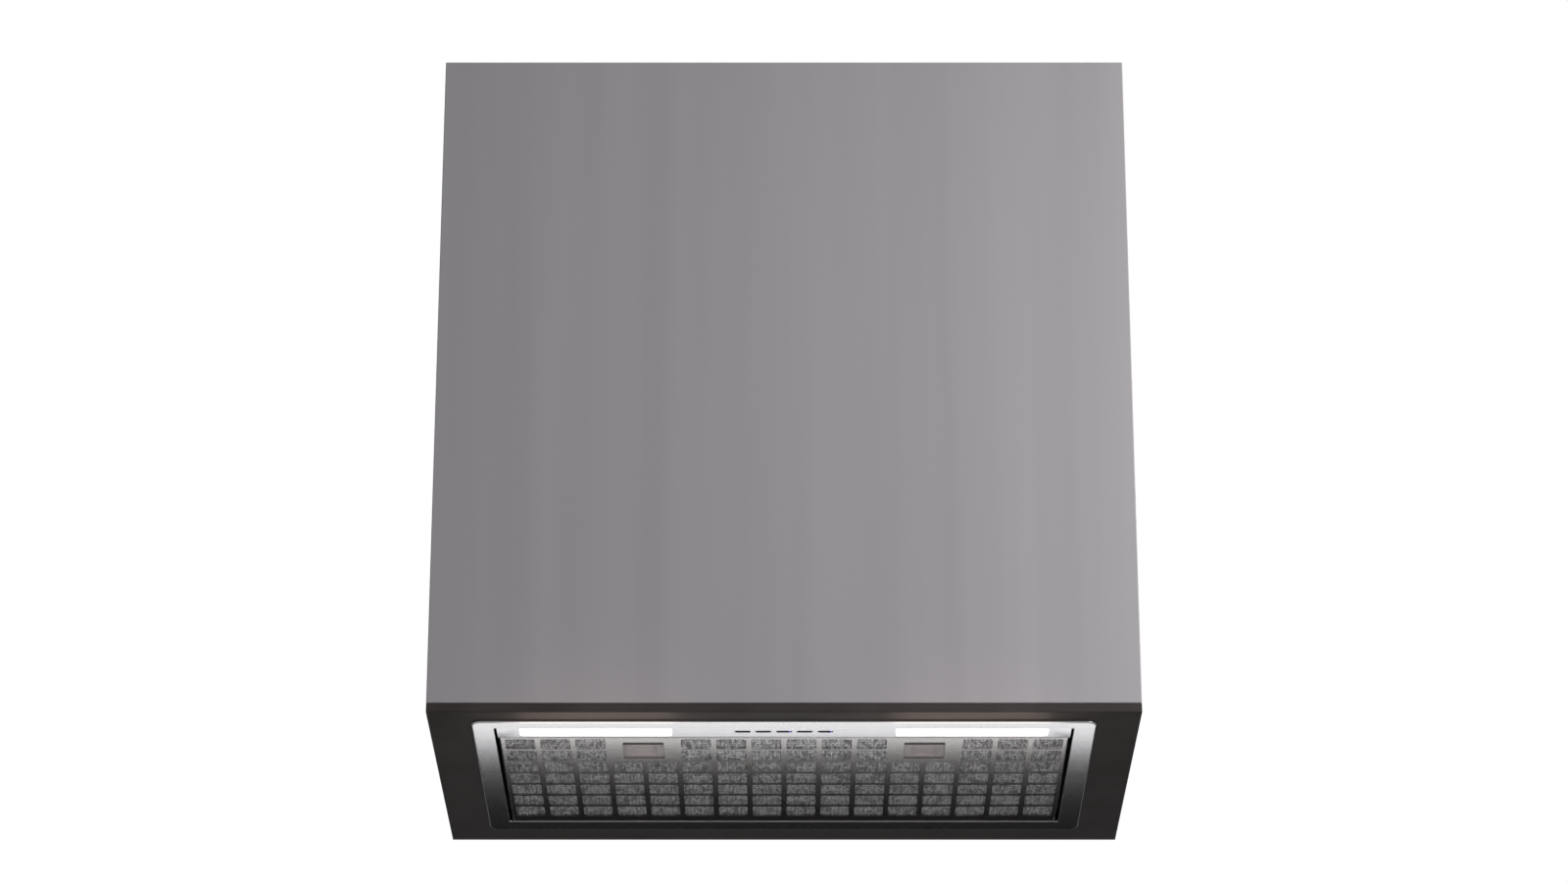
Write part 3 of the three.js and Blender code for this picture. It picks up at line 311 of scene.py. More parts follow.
@dataclass(frozen=True)
class SatinLacquer(Coat):
    """Sprayed satin lacquer on board: an even grey with a soft sheen.

    The spray leaves faint upright bands in tone and a fine orange peel that softens reflections.
    """

    roughness: Pair = (0.5, 0.58)
    relief: Pair = (0.12, 0.1)
    plain: float = 0.3
    band: float = 38.0
    band_length: float = 1400.0
    peel: float = 2.2

    def shade(self, tree: Tree, place: Socket) -> Node:
        """Adds the lacquer's shader."""
        across, along = scale(self.band), scale(self.band_length)
        stretched = add_node(
            tree, "ShaderNodeMapping", {"Vector": place, "Scale": (across, across, along)}
        )
        bands = add_node(
            tree,
            "ShaderNodeTexNoise",
            {"Vector": stretched, "Scale": 1.0, "Detail": 3.0, "Roughness": 0.45},
        )
        peel = add_node(
            tree, "ShaderNodeTexNoise", {"Vector": place, "Scale": scale(self.peel), "Detail": 1.0}
        )
        return self.coat(tree, bands, bands, peel, {"IOR": 1.48})


@dataclass(frozen=True)
class MattLaminate(Coat):
    """Pressed melamine laminate: near-black brown with a fine pearl grain and little gloss."""

    roughness: Pair = (0.43, 0.57)
    relief: Pair = (0.2, 0.08)
    plain: float = 0.35
    cloud: float = 60.0
    pearl: float = 0.9
    specular: float = 0.12

    def shade(self, tree: Tree, place: Socket) -> Node:
        """Adds the laminate's shader."""
        cloud = add_node(
            tree, "ShaderNodeTexNoise", {"Vector": place, "Scale": scale(self.cloud), "Detail": 4.0}
        )
        pearl = add_node(
            tree, "ShaderNodeTexNoise", {"Vector": place, "Scale": scale(self.pearl), "Detail": 2.0}
        )
        return self.coat(
            tree, cloud, pearl, pearl, {"IOR": 1.5, "Specular IOR Level": self.specular}
        )


@dataclass(frozen=True)
class BrushedSteel(Coat):
    """Belt-brushed stainless sheet: long fine lines along X that draw light out across them.

    Real lines are under 0.1 mm wide, too fine for a picture of the whole hood, so they are drawn
    as wide as they need to be to show.
    """

    roughness: Pair = (0.24, 0.36)
    relief: Pair = (0.12, 0.02)
    plain: float = 0.3
    line: float = 0.55
    length: float = 70.0
    anisotropy: float = 0.8

    def shade(self, tree: Tree, place: Socket) -> Node:
        """Adds the steel's shader."""
        across, along = scale(self.line), scale(self.length)
        stretched = add_node(
            tree, "ShaderNodeMapping", {"Vector": place, "Scale": (along, across, across)}
        )
        lines = add_node(
            tree,
            "ShaderNodeTexNoise",
            {"Vector": stretched, "Scale": 1.0, "Detail": 3.0, "Roughness": 0.7},
        )
        brushed = {
            "Metallic": 1.0,
            "Anisotropic": self.anisotropy,
            "Tangent": add_node(tree, "ShaderNodeCombineXYZ", {"X": 1.0}),
        }
        return self.coat(tree, lines, lines, lines, brushed)


@dataclass(frozen=True)
class GalvanisedSheet(Coat):
    """Hot-dip galvanised sheet: frosty zinc crystals, each a little brighter or duller."""

    roughness: Pair = (0.38, 0.6)
    relief: Pair = (0.15, 0.1)
    plain: float = 0.0
    crystal: float = 7.0
    metallic: float = 0.55

    def shade(self, tree: Tree, place: Socket) -> Node:
        """Adds the zinc's shader."""
        crystals = add_node(
            tree,
            "ShaderNodeTexVoronoi",
            {"Vector": place, "Scale": scale(self.crystal), "Randomness": 1.0},
        )
        face = add_node(tree, "ShaderNodeSeparateColor", {"Color": crystals.outputs["Color"]})
        tone, gloss, _ = face.outputs
        edge = crystals.outputs["Distance"]
        return self.coat(tree, tone, gloss, edge, {"Metallic": self.metallic})


@dataclass(frozen=True)
class ExpandedAluminium(Coat):
    """Slit and stretched aluminium foil, crumpled in layers.

    Every strand catches the light its own way, and together they scatter it nearly as a matt
    surface does, which is why so little of it is mirrored. Each facet's tone, from dark grey to
    near white, is painted glint and shade for how its tilt catches the light. Its facets are drawn
    larger than real ones, which are too fine to show.
    """

    roughness: Pair = (0.28, 0.45)
    relief: Pair = (0.6, 0.4)
    plain: float = 0.15
    facet: Pair = (1.8, 4.6)
    metallic: float = 0.12

    def shade(self, tree: Tree, place: Socket) -> Node:
        """Adds the foil's shader."""
        across, along = (scale(size) for size in self.facet)
        stretched = add_node(
            tree, "ShaderNodeMapping", {"Vector": place, "Scale": (across, along, along)}
        )
        # Each facet's random tone is painted glint and shade for how its tilt catches the light.
        painted_glints = add_node(
            tree, "ShaderNodeTexVoronoi", {"Vector": stretched, "Scale": 1.0, "Randomness": 1.0}
        )
        face = add_node(tree, "ShaderNodeSeparateColor", {"Color": painted_glints.outputs["Color"]})
        return self.coat(tree, *face.outputs, {"Metallic": self.metallic})


@dataclass(frozen=True)
class MouldedPlastic(Coat):
    """Injection-moulded plastic: an even colour with the fine spark grain of its mould."""

    roughness: Pair = (0.37, 0.53)
    relief: Pair = (0.25, 0.08)
    plain: float = 0.35
    grain: float = 0.8
    flow: float = 30.0
    specular: float = 0.5

    def shade(self, tree: Tree, place: Socket) -> Node:
        """Adds the plastic's shader."""
        flow = add_node(
            tree, "ShaderNodeTexNoise", {"Vector": place, "Scale": scale(self.flow), "Detail": 2.0}
        )
        spark = add_node(
            tree, "ShaderNodeTexNoise", {"Vector": place, "Scale": scale(self.grain), "Detail": 2.0}
        )
        return self.coat(
            tree, flow, spark, spark, {"IOR": 1.52, "Specular IOR Level": self.specular}
        )


@dataclass(frozen=True)
class SolderMask(Finish):
    """Circuit board: glossy green lacquer over copper tracks that show a little lighter.

    Attributes:
        board: the lacquer's colour over bare board.
        track: its colour over copper.
        pitch: distance between tracks in millimetres.
        edges: how far each edge of a track lies from its middle, in its pattern.
    """

    board: str
    track: str
    pitch: float = 3.2
    edges: tuple[float, float, float, float] = (0.28, 0.32, 0.4, 0.44)

    def shade(self, tree: Tree, place: Socket) -> Node:
        """Adds the board's shader."""
        cells = add_node(
            tree,
            "ShaderNodeTexVoronoi",
            {"Vector": place, "Scale": scale(self.pitch), "Randomness": 0.7},
            distance="CHEBYCHEV",
        )
        colours = (linear(code) for code in (self.board, self.track, self.track, self.board))
        tone = add_node(tree, "ShaderNodeValToRGB", {"Fac": cells}, tuple(zip(self.edges, colours)))
        relief = add_node(
            tree, "ShaderNodeBump", {"Height": cells, "Strength": 0.2, "Distance": 0.05 * MM}
        )
        return add_node(
            tree,
            "ShaderNodeBsdfPrincipled",
            {"Base Color": tone, "Roughness": 0.28, "Normal": relief, "IOR": 1.55},
        )


@dataclass(frozen=True)
class FrostedAcrylic(Finish):
    """Frosted opal acrylic lit from behind: white, a touch brighter over each light chip.

    Attributes:
        glow: colour of its light.
        body: its own colour.
        strengths: its light between the chips and over them.
        frost: size of its frosting in millimetres.
        chip_pitch: distance between light chips in millimetres.
    """

    glow: str
    body: str = "#f2f2ef"
    strengths: Pair = (1.564, 1.7)
    frost: float = 0.7
    chip_pitch: float = 15.89

    def shade(self, tree: Tree, place: Socket) -> Node:
        """Adds the lit lens's shader."""
        frost = add_node(
            tree, "ShaderNodeTexNoise", {"Vector": place, "Scale": scale(self.frost), "Detail": 1.0}
        )
        chips = add_node(
            tree,
            "ShaderNodeTexWave",
            {"Vector": place, "Scale": WAVE_REPEAT * scale(self.chip_pitch), "Distortion": 0.0},
            bands_direction="X",
        )
        bright = add_node(
            tree, "ShaderNodeMapRange", {"Value": chips.outputs["Fac"], **between(*self.strengths)}
        )
        relief = add_node(
            tree, "ShaderNodeBump", {"Height": frost, "Strength": 0.2, "Distance": 0.05 * MM}
        )
        return add_node(
            tree,
            "ShaderNodeBsdfPrincipled",
            {
                "Base Color": linear(self.body),
                "Roughness": 0.42,
                "IOR": 1.49,
                "Emission Color": linear(self.glow),
                "Emission Strength": bright,
                "Normal": relief,
            },
        )


@dataclass(frozen=True)
class LightPipe(Finish):
    """Clear moulded light pipe with a coloured lamp behind it.

    Attributes:
        glow: colour of its light.
        body: its own colour.
        strengths: its light where it is cloudiest and where it is clearest.
        cloud: size of its clouds in millimetres.
    """

    glow: str
    body: str = "#8f8fb0"
    strengths: Pair = (0.98, 1.68)
    cloud: float = 0.8

    def shade(self, tree: Tree, place: Socket) -> Node:
        """Adds the indicator's shader."""
        cloud = add_node(
            tree, "ShaderNodeTexNoise", {"Vector": place, "Scale": scale(self.cloud), "Detail": 1.0}
        )
        bright = add_node(tree, "ShaderNodeMapRange", {"Value": cloud, **between(*self.strengths)})
        return add_node(
            tree,
            "ShaderNodeBsdfPrincipled",
            {
                "Base Color": linear(self.body),
                "Roughness": 0.25,
                "Emission Color": linear(self.glow),
                "Emission Strength": bright,
            },
        )


LACQUER = SatinLacquer("satin grey lacquer", "#868387", "#8d8a8e")
RAIL_LACQUER = SatinLacquer("satin grey lacquer, inside", "#858285", "#8e8b8e")
LAMINATE = MattLaminate("anthracite melamine laminate", "#2d2928", "#363231")
FLANGE_STEEL = BrushedSteel("brushed stainless flange", "#c9c8ca", "#dedddf", (0.14, 0.2))
STRIP_STEEL = BrushedSteel("brushed stainless strip", "#c2c1c4", "#d6d5d8", (0.12, 0.19))
FILTER_STEEL = BrushedSteel("brushed stainless filter face", "#b7b3b2", "#cbc7c6", (0.13, 0.19))
SCREW_STEEL = BrushedSteel(
    "zinc-plated screw steel", "#a9abae", "#cfd1d4", line=0.4, length=3.0, anisotropy=0.0
)
MOTOR_CAN = BrushedSteel(
    "drawn steel motor can", "#7f8488", "#a3a8ac", line=0.6, length=30.0, anisotropy=0.2
)
ZINC = GalvanisedSheet("galvanised sheet", "#979ca0", "#adb2b6")
FOIL = ExpandedAluminium("expanded aluminium", "#747478", "#f4f4f6")
# The inner layers are the same aluminium as the foil in darker tones: painted shade for lying deeper
# in the filter.
SHADED_INNER_FOIL = ExpandedAluminium("expanded aluminium, inner layers", "#48484a", "#8c8c8e")
GRID_STEEL = GalvanisedSheet("galvanised grid", "#8b8e91", "#a0a3a6", crystal=3.0)
CARRIER_ABS = MouldedPlastic("black moulded polypropylene", "#2a2c2f", "#35373a")
BUTTON_ABS = MouldedPlastic(
    "dark moulded button", "#211f28", "#2c2a34", (0.52, 0.68), grain=0.5, specular=0.15
)
LATCH_ABS = MouldedPlastic("warm grey moulded latch", "#8d8686", "#9b9494", (0.44, 0.6), grain=0.9)
SCROLL_ABS = MouldedPlastic("grey moulded scroll", "#494c50", "#56595d", grain=1.0)
IMPELLER_PA = MouldedPlastic("black glass-filled impeller", "#1f2125", "#2d2f33", (0.42, 0.58))
DAMPER_ABS = MouldedPlastic("dark moulded duct collar", "#383b3f", "#44474b", grain=1.0)
ENCLOSURE_ABS = MouldedPlastic("light grey moulded enclosure", "#cbc8c2", "#d8d5cf", grain=1.0)
CABLE_PVC = MouldedPlastic(
    "black corrugated cable sleeve", "#1d1d1f", "#2a2a2c", (0.3, 0.46), (0.1, 0.08)
)
BOARD = SolderMask("green circuit board", "#0f5a33", "#2c8a55")
LENS = FrostedAcrylic("frosted lit acrylic", "#fffdf8")
INDICATOR = LightPipe("blue indicator", "#7f7cff")


# ---------------------------------------------------------------- shapes


def rounded(half_x: float, half_y: float, corner: float, steps: int = 4) -> list[tuple]:
    """Gives the points of a rounded rectangle about the origin, anticlockwise.

    Args:
        half_x: half its width.
        half_y: half its depth.
        corner: radius of its corners.
        steps: straight lines in each corner.

    Returns:
        Its points as (x, y).
    """
    points = []
    for quarter, (sx, sy) in enumerate(((1, 1), (-1, 1), (-1, -1), (1, -1))):
        for step in range(steps + 1):
            turn = (quarter + step / steps) * math.pi / 2
            points.append(
                (
                    sx * (half_x - corner) + corner * math.cos(turn),
                    sy * (half_y - corner) + corner * math.sin(turn),
                )
            )
    return points


def circle(radius: float, steps: int) -> list[tuple]:
    """Gives the points of a circle about the origin as (x, y)."""
    turns = (2 * math.pi * i / steps for i in range(steps))
    return [(radius * math.cos(t), radius * math.sin(t)) for t in turns]


def facing(centre: Point, out: Point, along: Point | None = None) -> Matrix:
    """Gives the place of a shape that stands out from a face.

    Args:
        centre: its middle on the face, in millimetres.
        out: the direction that its own Z points in.
        along: the direction that its own X points in, where that matters.

    Returns:
        The place, in metres.
    """
    up = Vector(out)
    run = Vector(along) if along else up.orthogonal().normalized()
    turn = Matrix((run, up.cross(run), up)).transposed().to_4x4()
    return Matrix.Translation(mm(*centre)) @ turn


class Shape:
    """A mesh that is made from loops of points, each joined to the next."""

    def __init__(self) -> None:
        """Starts an empty mesh."""
        self.mesh = bmesh.new()

    def skin(
        self, loops: Sequence[Sequence[Vector]], ring: bool = False, capped: bool = True
    ) -> Shape:
        """Joins loops of as many points each with quads.

        Args:
            loops: the loops, in metres, in order.
            ring: whether the last loop joins the first.
            capped: whether the first and last loops are closed with a face.

        Returns:
            This shape.
        """
        rows = [[self.mesh.verts.new(point) for point in loop] for loop in loops]
        pairs = list(zip(rows, rows[1:]))
        if ring:
            pairs.append((rows[-1], rows[0]))
        for low, high in pairs:
            for i, corner in enumerate(low):
                j = (i + 1) % len(low)
                self.mesh.faces.new((corner, low[j], high[j], high[i]))
        if capped and not ring:
            self.mesh.faces.new(list(reversed(rows[0])))
            self.mesh.faces.new(rows[-1])
        return self

    def stack(
        self, layers: Iterable[tuple[Sequence[tuple], float]], at: Matrix | None = None
    ) -> Shape:
        """Joins flat outlines that lie one above the other, and closes both ends.

        Args:
            layers: each outline as (x, y) points with its height, all in millimetres.
            at: where the outlines' own axes go, in metres.

        Returns:
            This shape.
        """
        place = at or Matrix.Identity(4)
        loops = [[place @ mm(x, y, z) for x, y in outline] for outline, z in layers]
        return self.skin(loops)

    def turned(self, profile: Sequence[Pair], at: Matrix, steps: int = 24) -> Shape:
        """Turns a profile round its own Z and closes both ends.

        Args:
            profile: radius and height of each corner, in millimetres.
            at: where its own axes go, in metres.
            steps: straight lines round it.

        Returns:
            This shape.
        """
        return self.stack([(circle(radius, steps), z) for radius, z in profile], at)

    def object(self, name: str) -> Object:
        """Ends the mesh, with its faces outwards, and puts it in a new object.

        Args:
            name: the piece's name.

        Returns:
            The object, at the origin.
        """
        bmesh.ops.remove_doubles(self.mesh, verts=self.mesh.verts, dist=0.002 * MM)
        bmesh.ops.recalc_face_normals(self.mesh, faces=self.mesh.faces)
        data = bpy.data.meshes.new(name)
        self.mesh.to_mesh(data)
        self.mesh.free()
        return linked(name, data)


def linked(name: str, data: bpy.types.Mesh) -> Object:
    """Puts a mesh in a new object of the scene."""
    made = bpy.data.objects.new(name, data)
    bpy.context.scene.collection.objects.link(made)
    return made


def baked(source: Object) -> Object:
    """Turns an object with modifiers into the plain mesh that they make.

    Args:
        source: the object, which keeps its name and loses its modifiers.

    Returns:
        The same object.
    """
    bpy.context.view_layer.update()
    graph = bpy.context.evaluated_depsgraph_get()
    made = bpy.data.meshes.new_from_object(
        source.evaluated_get(graph), preserve_all_data_layers=True, depsgraph=graph
    )
    old = source.data
    source.modifiers.clear()
    source.data = made
    made.name = source.name
    bpy.data.meshes.remove(old)
    return source


def smoothed(
    made: Object, ease: float = 0.0, steps: int = 2, drill: Object | None = None
) -> Object:
    """Rounds an object's sharp edges, drills it and shades its flat faces flat.

    Args:
        made: the object.
        ease: width of the rounding in millimetres, or 0 for none.
        steps: straight lines across each rounding.
        drill: what is cut out of it, if anything, which is used up.

    Returns:
        The same object, its mesh final.
    """
    if ease:
        bevel = made.modifiers.new("eased edges", "BEVEL")
        bevel.width = ease * MM
        bevel.segments = steps
        bevel.limit_method = "ANGLE"
        bevel.angle_limit = EASED_ABOVE
        bevel.use_clamp_overlap = False
    if drill:
        cut = made.modifiers.new("drilled", "BOOLEAN")
        cut.object, cut.operation, cut.solver = drill, "DIFFERENCE", "EXACT"
    if ease or drill:
        baked(made)
    if drill:
        bpy.data.objects.remove(drill)
    made.data.shade_smooth()
    made.data.set_sharp_from_angle(angle=SHARP_ABOVE)
    made.modifiers.new("flat faces", "WEIGHTED_NORMAL").keep_sharp = True
    return baked(made)


class Bench:
    """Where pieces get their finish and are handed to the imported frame."""

    def __init__(self, frame: dict) -> None:
        """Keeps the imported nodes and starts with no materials.

        Args:
            frame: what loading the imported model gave.
        """
        self.nodes: dict[str, Object] = frame["nodes"]
        self.materials: dict[Finish, Material] = {}

    def material(self, finish: Finish) -> Material:
        """Gives a finish's material, built once."""
        if finish not in self.materials:
            self.materials[finish] = finish.material()
        return self.materials[finish]

    def dress(self, made: Object, finish: Finish) -> Object:
        """Gives an object one finish all over."""
        made.data.materials.clear()
        made.data.materials.append(self.material(finish))
        return made

    def recoat(self, finish: Finish, *names: str) -> None:
        """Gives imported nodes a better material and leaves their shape.

        Args:
            finish: the finish.
            names: the nodes.
        """
        for name in names:
            for slot in self.nodes[name].material_slots:
                slot.material = self.material(finish)
            LOG.info("node %s keeps its shape: %s", name, finish.name)

    def copy_of(self, name: str, detail: Detail | None = None) -> Object:
        """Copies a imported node's mesh, merged and with its flat faces whole.

        Args:
            name: the node.
            detail: what to do to the merged mesh.

        Returns:
            A new object with the copy.
        """
        mesh = bmesh.new()
        mesh.from_mesh(self.nodes[name].data)
        bmesh.ops.remove_doubles(mesh, verts=mesh.verts, dist=0.001 * MM)
        bmesh.ops.dissolve_limit(
            mesh, angle_limit=math.radians(0.5), verts=mesh.verts, edges=mesh.edges
        )
        if detail:
            detail(mesh)
        data = bpy.data.meshes.new(name + "_shape")
        mesh.to_mesh(data)
        mesh.free()
        return linked(name + "_shape", data)

    def corners(self, name: str) -> tuple[list[float], list[float]]:
        """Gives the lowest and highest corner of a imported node's box."""
        axes = list(zip(*(vert.co for vert in self.nodes[name].data.vertices)))
        return [min(axis) for axis in axes], [max(axis) for axis in axes]

    def eased(
        self,
        name: str,
        finish: Finish,
        slot: Slot,
        ease: float,
        steps: int = 2,
        detail: Detail | None = None,
        drilled: Shape | None = None,
    ) -> Object:
        """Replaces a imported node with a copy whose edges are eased.

        Args:
            name: the node.
            finish: the copy's finish.
            slot: the record's material slot.
            ease: width of the easing in millimetres.
            steps: straight lines across it.
            detail: what to do to the mesh first.
            drilled: what is cut out of it last.

        Returns:
            The copy, in place.
        """
        drill = drilled.object("drill") if drilled else None
        made = smoothed(self.copy_of(name, detail), ease, steps, drill)
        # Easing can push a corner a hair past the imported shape, so each point is kept within it.
        low, high = self.corners(name)
        for vert in made.data.vertices:
            vert.co = [min(max(v, a), b) for v, a, b in zip(vert.co, low, high)]
        self.dress(made, finish)
        return self.place(made, self.nodes[name]["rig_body"], slot, name)

    def add(
        self,
        shape: Shape,
        name: str,
        finish: Finish,
        slot: Slot,
        *nodes: str,
        body: str = Body.FRAME.value,
        drill: Shape | None = None,
    ) -> None:
        """Hands a piece that was made from a shape to the frame.

        Args:
            shape: the shape, which is used up.
            name: the piece's name.
            finish: its finish.
            slot: the record's material slot of its finish.
            nodes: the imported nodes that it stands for.
            body: the body that it moves with.
            drill: what is cut out of it, if anything.
        """
        made = shape.object(name)
        smoothed(made, drill=drill.object("drill") if drill else None)
        self.place(self.dress(made, finish), body, slot, *nodes)

    def place(self, made: Object, body: str, slot: Slot, *nodes: str) -> Object:
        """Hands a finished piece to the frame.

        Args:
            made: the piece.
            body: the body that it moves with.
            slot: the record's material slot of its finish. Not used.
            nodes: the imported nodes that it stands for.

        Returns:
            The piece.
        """
        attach(made, body)
        if nodes:
            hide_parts(*nodes)
        LOG.info("piece %s on %s, %d faces", made.name, body, len(made.data.polygons))
        return made


# ---------------------------------------------------------------- patterns that repeat


class Pattern:
    """A Geometry Nodes tree with named inputs, and the plain mesh that it makes."""

    def __init__(self, name: str, inputs: dict[str, str]) -> None:
        """Starts the tree and its named inputs.

        Args:
            name: the tree's name.
            inputs: kind of each input by its name.
        """
        self.tree = bpy.data.node_groups.new(name, "GeometryNodeTree")
        face = self.tree.interface
        face.new_socket("Geometry", in_out="INPUT", socket_type="NodeSocketGeometry")
        self.keys = {
            label: face.new_socket(
                label, in_out="INPUT", socket_type=f"NodeSocket{kind}"
            ).identifier
            for label, kind in inputs.items()
        }
        face.new_socket("Geometry", in_out="OUTPUT", socket_type="NodeSocketGeometry")
        self.given = add_node(self.tree, "NodeGroupInput").outputs

    def copy_onto(self, points: Node | Socket, merge: bool, **turns: Node) -> None:
        """Ends the tree: copies of the piece on points become real geometry, dressed.

        Args:
            points: where the copies go.
            merge: whether points of the copies that meet are merged.
            turns: how the copies are turned, if they are.
        """
        tree, given = self.tree, self.given
        piece = add_node(tree, "GeometryNodeObjectInfo", {"Object": given["Piece"]})
        copies = add_node(
            tree,
            "GeometryNodeInstanceOnPoints",
            {"Points": points, "Instance": piece.outputs["Geometry"], **turns},
        )
        real = add_node(tree, "GeometryNodeRealizeInstances", {"Geometry": copies})
        if merge:
            real = add_node(
                tree, "GeometryNodeMergeByDistance", {"Geometry": real, "Distance": 0.01 * MM}
            )
        dressed = add_node(
            tree, "GeometryNodeSetMaterial", {"Geometry": real, "Material": given["Material"]}
        )
        add_node(tree, "NodeGroupOutput", {"Geometry": dressed})

    def run(self, name: str, data: bpy.types.Mesh, values: dict[str, object]) -> Object:
        """Runs the tree on a mesh and keeps what it makes.

        Args:
            name: the piece's name.
            data: the mesh that the tree starts from.
            values: a value for each named input.

        Returns:
            The piece, a plain mesh.
        """
        made = linked(name, data)
        modifier = made.modifiers.new(self.tree.name, "NODES")
        modifier.node_group = self.tree
        for label, value in values.items():
            modifier[self.keys[label]] = value
        return baked(made)


class GridPattern(Pattern):
    """Copies a piece onto a rectangular grid, and leaves out two blocks near its front edge."""

    def __init__(self) -> None:
        """Builds the tree."""
        super().__init__(
            "grid of copies",
            {
                "Piece": "Object",
                "Columns": "Int",
                "Rows": "Int",
                "Pitch X": "Float",
                "Pitch Y": "Float",
                "Centre": "Vector",
                "Gap Centre": "Float",
                "Gap Half Width": "Float",
                "Gap Back": "Float",
                "Material": "Material",
            },
        )
        tree, given = self.tree, self.given
        size = {"Vertices X": given["Columns"], "Vertices Y": given["Rows"]}
        for axis, count in (("X", "Columns"), ("Y", "Rows")):
            gaps = add_node(tree, "ShaderNodeMath", {0: given[count], 1: 1.0}, operation="SUBTRACT")
            size[f"Size {axis}"] = add_node(
                tree, "ShaderNodeMath", {0: gaps, 1: given[f"Pitch {axis}"]}, operation="MULTIPLY"
            )
        grid = add_node(tree, "GeometryNodeMeshGrid", size)
        placed = add_node(
            tree, "GeometryNodeTransform", {"Geometry": grid, "Translation": given["Centre"]}
        )
        point = add_node(tree, "GeometryNodeInputPosition")
        here = add_node(tree, "ShaderNodeSeparateXYZ", {0: point}).outputs
        side = add_node(tree, "ShaderNodeMath", {0: here["X"]}, operation="ABSOLUTE")
        off = add_node(
            tree, "ShaderNodeMath", {0: side, 1: given["Gap Centre"]}, operation="SUBTRACT"
        )
        apart = add_node(tree, "ShaderNodeMath", {0: off}, operation="ABSOLUTE")
        beside, ahead = (
            add_node(
                tree, "FunctionNodeCompare", {0: reach, 1: given[limit]}, operation="LESS_THAN"
            )
            for reach, limit in ((apart, "Gap Half Width"), (here["Y"], "Gap Back"))
        )
        both = add_node(tree, "FunctionNodeBooleanMath", {0: beside, 1: ahead}, operation="AND")
        kept = add_node(
            tree, "GeometryNodeDeleteGeometry", {"Geometry": placed, "Selection": both}
        )
        self.copy_onto(kept, merge=True)


class ScatterPattern(Pattern):
    """Copies a fixing onto points, each turned to face out of what it is driven into.

    Its cross recess is turned at random, as a driven screw's is.
    """

    FACING = "facing"

    def __init__(self) -> None:
        """Builds the tree."""
        inputs = {"Piece": "Object", "Seed": "Int", "Material": "Material"}
        super().__init__("fixings on points", inputs)
        tree, given = self.tree, self.given
        out = add_node(
            tree,
            "GeometryNodeInputNamedAttribute",
            {"Name": self.FACING},
            data_type="FLOAT_VECTOR",
        )
        upright = add_node(tree, "FunctionNodeAlignRotationToVector", {"Vector": out}, axis="Z")
        spin = add_node(
            tree,
            "FunctionNodeRandomValue",
            {2: 0.0, 3: math.pi, "Seed": given["Seed"]},
            data_type="FLOAT",
        )
        turn = add_node(
            tree,
            "FunctionNodeAxisAngleToRotation",
            {"Axis": (0.0, 0.0, 1.0), "Angle": spin.outputs[1]},
        )
        turned = add_node(
            tree,
            "FunctionNodeRotateRotation",
            {"Rotation": upright, "Rotate By": turn},
            rotation_space="LOCAL",
        )
        self.copy_onto(given["Geometry"], merge=False, Rotation=turned)


@dataclass(frozen=True)
class Head:
    """The head of a screw or rivet, about its own axis.

    Attributes:
        profile: radius and height of each corner, from its foot up, in millimetres.
        recess: heights of the driver recess's edge and floor, where it has one.
    """

    profile: Profile
    recess: Row = ()


class Fixing(Enum):
    """The kinds of screw and rivet on the hood, each with its head."""

    PAN_SCREW = Head(((3.6, 0.0), (3.6, 0.7), (3.1, 1.5), (2.1, 1.9)), (1.9, 0.9))
    FLUSH_SCREW = Head(((3.2, -0.6), (4.1, 0.0), (4.0, 0.25), (2.1, 0.3)), (0.3, -0.5))
    RIVET = Head(((2.4, 0.0), (2.3, 0.5), (1.6, 1.0), (0.9, 1.1), (0.8, 0.7)))


@dataclass
class Fixings:
    """Screws and rivets, gathered by kind and driven in one go.

    Attributes:
        bench: where pieces get their finish.
        places: for each piece's name, its kind and the points and directions of its fixings.
        round_steps: straight lines round a head, a multiple of four.
        arm: reach of the cross recess's arms from the middle.
        web: reach of its inner corners.
    """

    bench: Bench
    places: dict[str, tuple[Fixing, list[tuple[Point, Point]]]] = field(default_factory=dict)
    round_steps: int = 16
    arm: float = 1.25
    web: float = 0.55

    def add(self, name: str, kind: Fixing, out: Point, points: Iterable[Point]) -> None:
        """Notes fixings to drive.

        Args:
            name: the piece that they become part of.
            kind: what they are.
            out: the direction that their heads face.
            points: where the underside of each head sits, in millimetres.
        """
        _, group = self.places.setdefault(name, (kind, []))
        group.extend((point, out) for point in points)

    def head(self, kind: Fixing) -> Object:
        """Makes one fixing's head about the origin, facing +Z.

        Args:
            kind: what it is.

        Returns:
            The head, with its cross recess if it has one.
        """
        count = self.round_steps
        reaches = [self.web if i % (count // 4) else self.arm for i in range(count)]
        cross = [(reach * x, reach * y) for reach, (x, y) in zip(reaches, circle(1.0, count))]
        layers = [(circle(radius, count), z) for radius, z in kind.value.profile]
        layers += [(cross, z) for z in kind.value.recess]
        return smoothed(Shape().stack(layers).object(kind.name.lower()))

    def drive(self) -> None:
        """Turns every noted fixing into geometry on the frame."""
        pattern = ScatterPattern()
        for seed, (name, (kind, group)) in enumerate(self.places.items()):
            data = bpy.data.meshes.new(name)
            data.from_pydata([mm(*point) for point, _ in group], [], [])
            outs = data.attributes.new(ScatterPattern.FACING, "FLOAT_VECTOR", "POINT")
            for entry, (_, out) in zip(outs.data, group):
                entry.vector = out
            head = self.head(kind)
            values = {"Piece": head, "Seed": seed, "Material": self.bench.material(SCREW_STEEL)}
            made = pattern.run(name, data, values)
            bpy.data.objects.remove(head)
            self.bench.place(made, Body.FRAME.value, Slot.ZINC)


# ---------------------------------------------------------------- the surround


